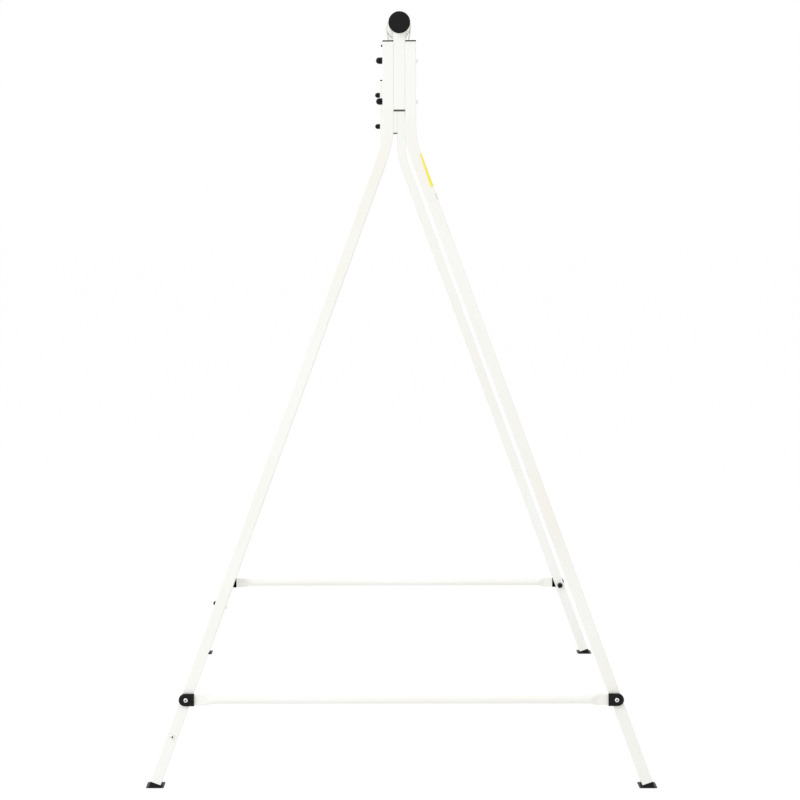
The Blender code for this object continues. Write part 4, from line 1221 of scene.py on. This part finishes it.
# %% Press the straps
strap_width, strap_thick, strap_soft = 30 * mm, 3 * mm, 0.8 * mm
liner_radius = bar_radius + touch + 1.7 * mm
strap_radius = liner_radius + touch + strap_thick / 2
sleeve_length = 34.5 * mm
ear_x = sleeve_length / 2 + touch + strap_thick / 2
pin_drop, ear_height = 80 * mm, 18 * mm
ear_top = pin_drop - ear_height
span = math.hypot(ear_x, ear_top)
lean_in = math.asin(strap_radius / span) - math.atan2(ear_x, ear_top)

half_line = []
for step in range(25):
    angle = math.pi / 2 - (math.pi / 2 + lean_in) * step / 24
    normal = Vector((math.cos(angle), math.sin(angle)))
    half_line.append((normal * strap_radius, normal, 1.0))
side_way = Vector((1, 0))
fold = (side_way + half_line[-1][1]).normalized()
half_line.append((Vector((ear_x, -ear_top)), fold / fold.dot(side_way), 1.0))
for step in range(13):
    angle = math.radians(84) * step / 12
    tip_place = Vector((ear_x, -pin_drop - strap_width / 2 * math.sin(angle)))
    half_line.append((tip_place, side_way, math.cos(angle)))
whole_line = [
    (Vector((-place.x, place.y)), Vector((-normal.x, normal.y)), narrow)
    for place, normal, narrow in reversed(half_line[1:])
] + half_line

# %% [markdown]
# The section is drawn flat on the first point of the line and extruded once for every other point. Each
# ring of points then knows its place across and through the strip, and is set on the line from those.

# %% Form a strap along its line
shape = bmesh.new()
section = plate(shape, strap_thick, strap_width, strap_soft, 3)
faces, rings = section, [list(section[0].verts)]
for point in whole_line[1:]:
    faces = pull(shape, faces, (0, 0, 1 * mm))
    rings.append(list(faces[0].verts))
for (place, normal, narrow), ring in zip(whole_line, rings):
    for vert in ring:
        through, across = vert.co.x, vert.co.y * narrow
        vert.co = Vector((place.x + normal.x * through, across, place.y + normal.y * through))
strap = close_mesh("strap_band", shape, galvanised, 40)
print("strap faces:", len(strap.polygons), "points on its line:", len(whole_line))

# %% [markdown]
# The liner is a spool: a thin sleeve on the bar between two low flanges that keep the strap in its
# place. Its bore grips the bar, so that no dark line shows between them. Pin, sleeve and nut close
# the hanger below.

# %% Turn the liner, sleeve and nut
spool_half, flange, flange_wall = strap_width / 2 + touch, liner_radius + 0.6 * mm, 1.6 * mm
inner = bar_radius + 0.03 * mm
soft = 0.4 * mm
profile = [(inner, -spool_half - flange_wall)]
profile += arc((flange - soft, -spool_half - flange_wall + soft), soft, -90, 0, 3)
profile += [(flange, -spool_half), (liner_radius, -spool_half)]
profile += [(liner_radius, spool_half), (flange, spool_half)]
profile += arc((flange - soft, spool_half + flange_wall - soft), soft, 0, 90, 3)
profile += [(inner, spool_half + flange_wall), (inner, -spool_half - flange_wall)]
liner = close_mesh("liner_spool", lathe(profile, 96), milk_nylon)

pin_hole = 4.3 * mm
sleeve_half, sleeve_radius, sleeve_soft = sleeve_length / 2, 8 * mm, 0.4 * mm
profile = [(pin_hole, -sleeve_half), (sleeve_radius - sleeve_soft, -sleeve_half)]
profile += [(sleeve_radius, sleeve_soft - sleeve_half), (sleeve_radius, sleeve_half - sleeve_soft)]
profile += [(sleeve_radius - sleeve_soft, sleeve_half), (pin_hole, sleeve_half), (pin_hole, -sleeve_half)]
sleeve = close_mesh("pin_sleeve", lathe(profile, 48), zinc_plate)
ear_seat = ear_x + strap_thick / 2 + touch
pin = button_bolt("hanger_bolt", 2 * ear_seat + 9.5 * mm, 8 * mm, 14 * mm, 4.4 * mm, 5 * mm)
print("liner faces:", len(liner.polygons), "sleeve faces:", len(sleeve.polygons))

# %% [markdown]
# The nut is a hexagon pulled to its height round the pin's hole. Real nuts have their corners cut by a
# cone on both faces. A small bevel of the outer edges gives the eye the same.

# %% Make the nut and set the hangers
shape = bmesh.new()
nut_width, nut_height = 13 * mm, 8 * mm
hexagon = circle(shape, 6, nut_width / math.sqrt(3))
pull(shape, link(shape, hexagon, circle(shape, 48, pin_hole)), (0, 0, nut_height))
inside = nut_width / 2
rim = [edge for edge in shape.edges if min(math.hypot(vert.co.x, vert.co.y) for vert in edge.verts) > inside]
round_edges(shape, rim, 0.5 * mm, 2)
nut = close_mesh("hexagon_nut", shape, zinc_plate, 30)

for end, along in ends:
    body = f"hanger_{end}"
    centre = Vector((0, along * hanger_y, bar.z))
    pin_place = centre - Vector((0, 0, pin_drop))
    reach = Vector((ear_seat, 0, 0))
    set_piece(f"liner_spool_{end}", liner, frame_at(centre, (0, 1, 0)), node=f"hanger_liner_{end}")
    set_piece(f"strap_band_{end}", strap, Matrix.Translation(centre), body, f"hanger_strap_{end}")
    set_piece(f"pin_sleeve_{end}", sleeve, frame_at(pin_place, (1, 0, 0)), body, f"hanger_sleeve_{end}")
    set_piece(f"hanger_bolt_{end}", pin, frame_at(pin_place + reach, (1, 0, 0)), body, f"hanger_pin_{end}")
    set_piece(f"hexagon_nut_{end}", nut, frame_at(pin_place - reach, (-1, 0, 0)), body, f"hanger_nut_{end}")
print("nut faces:", len(nut.polygons))
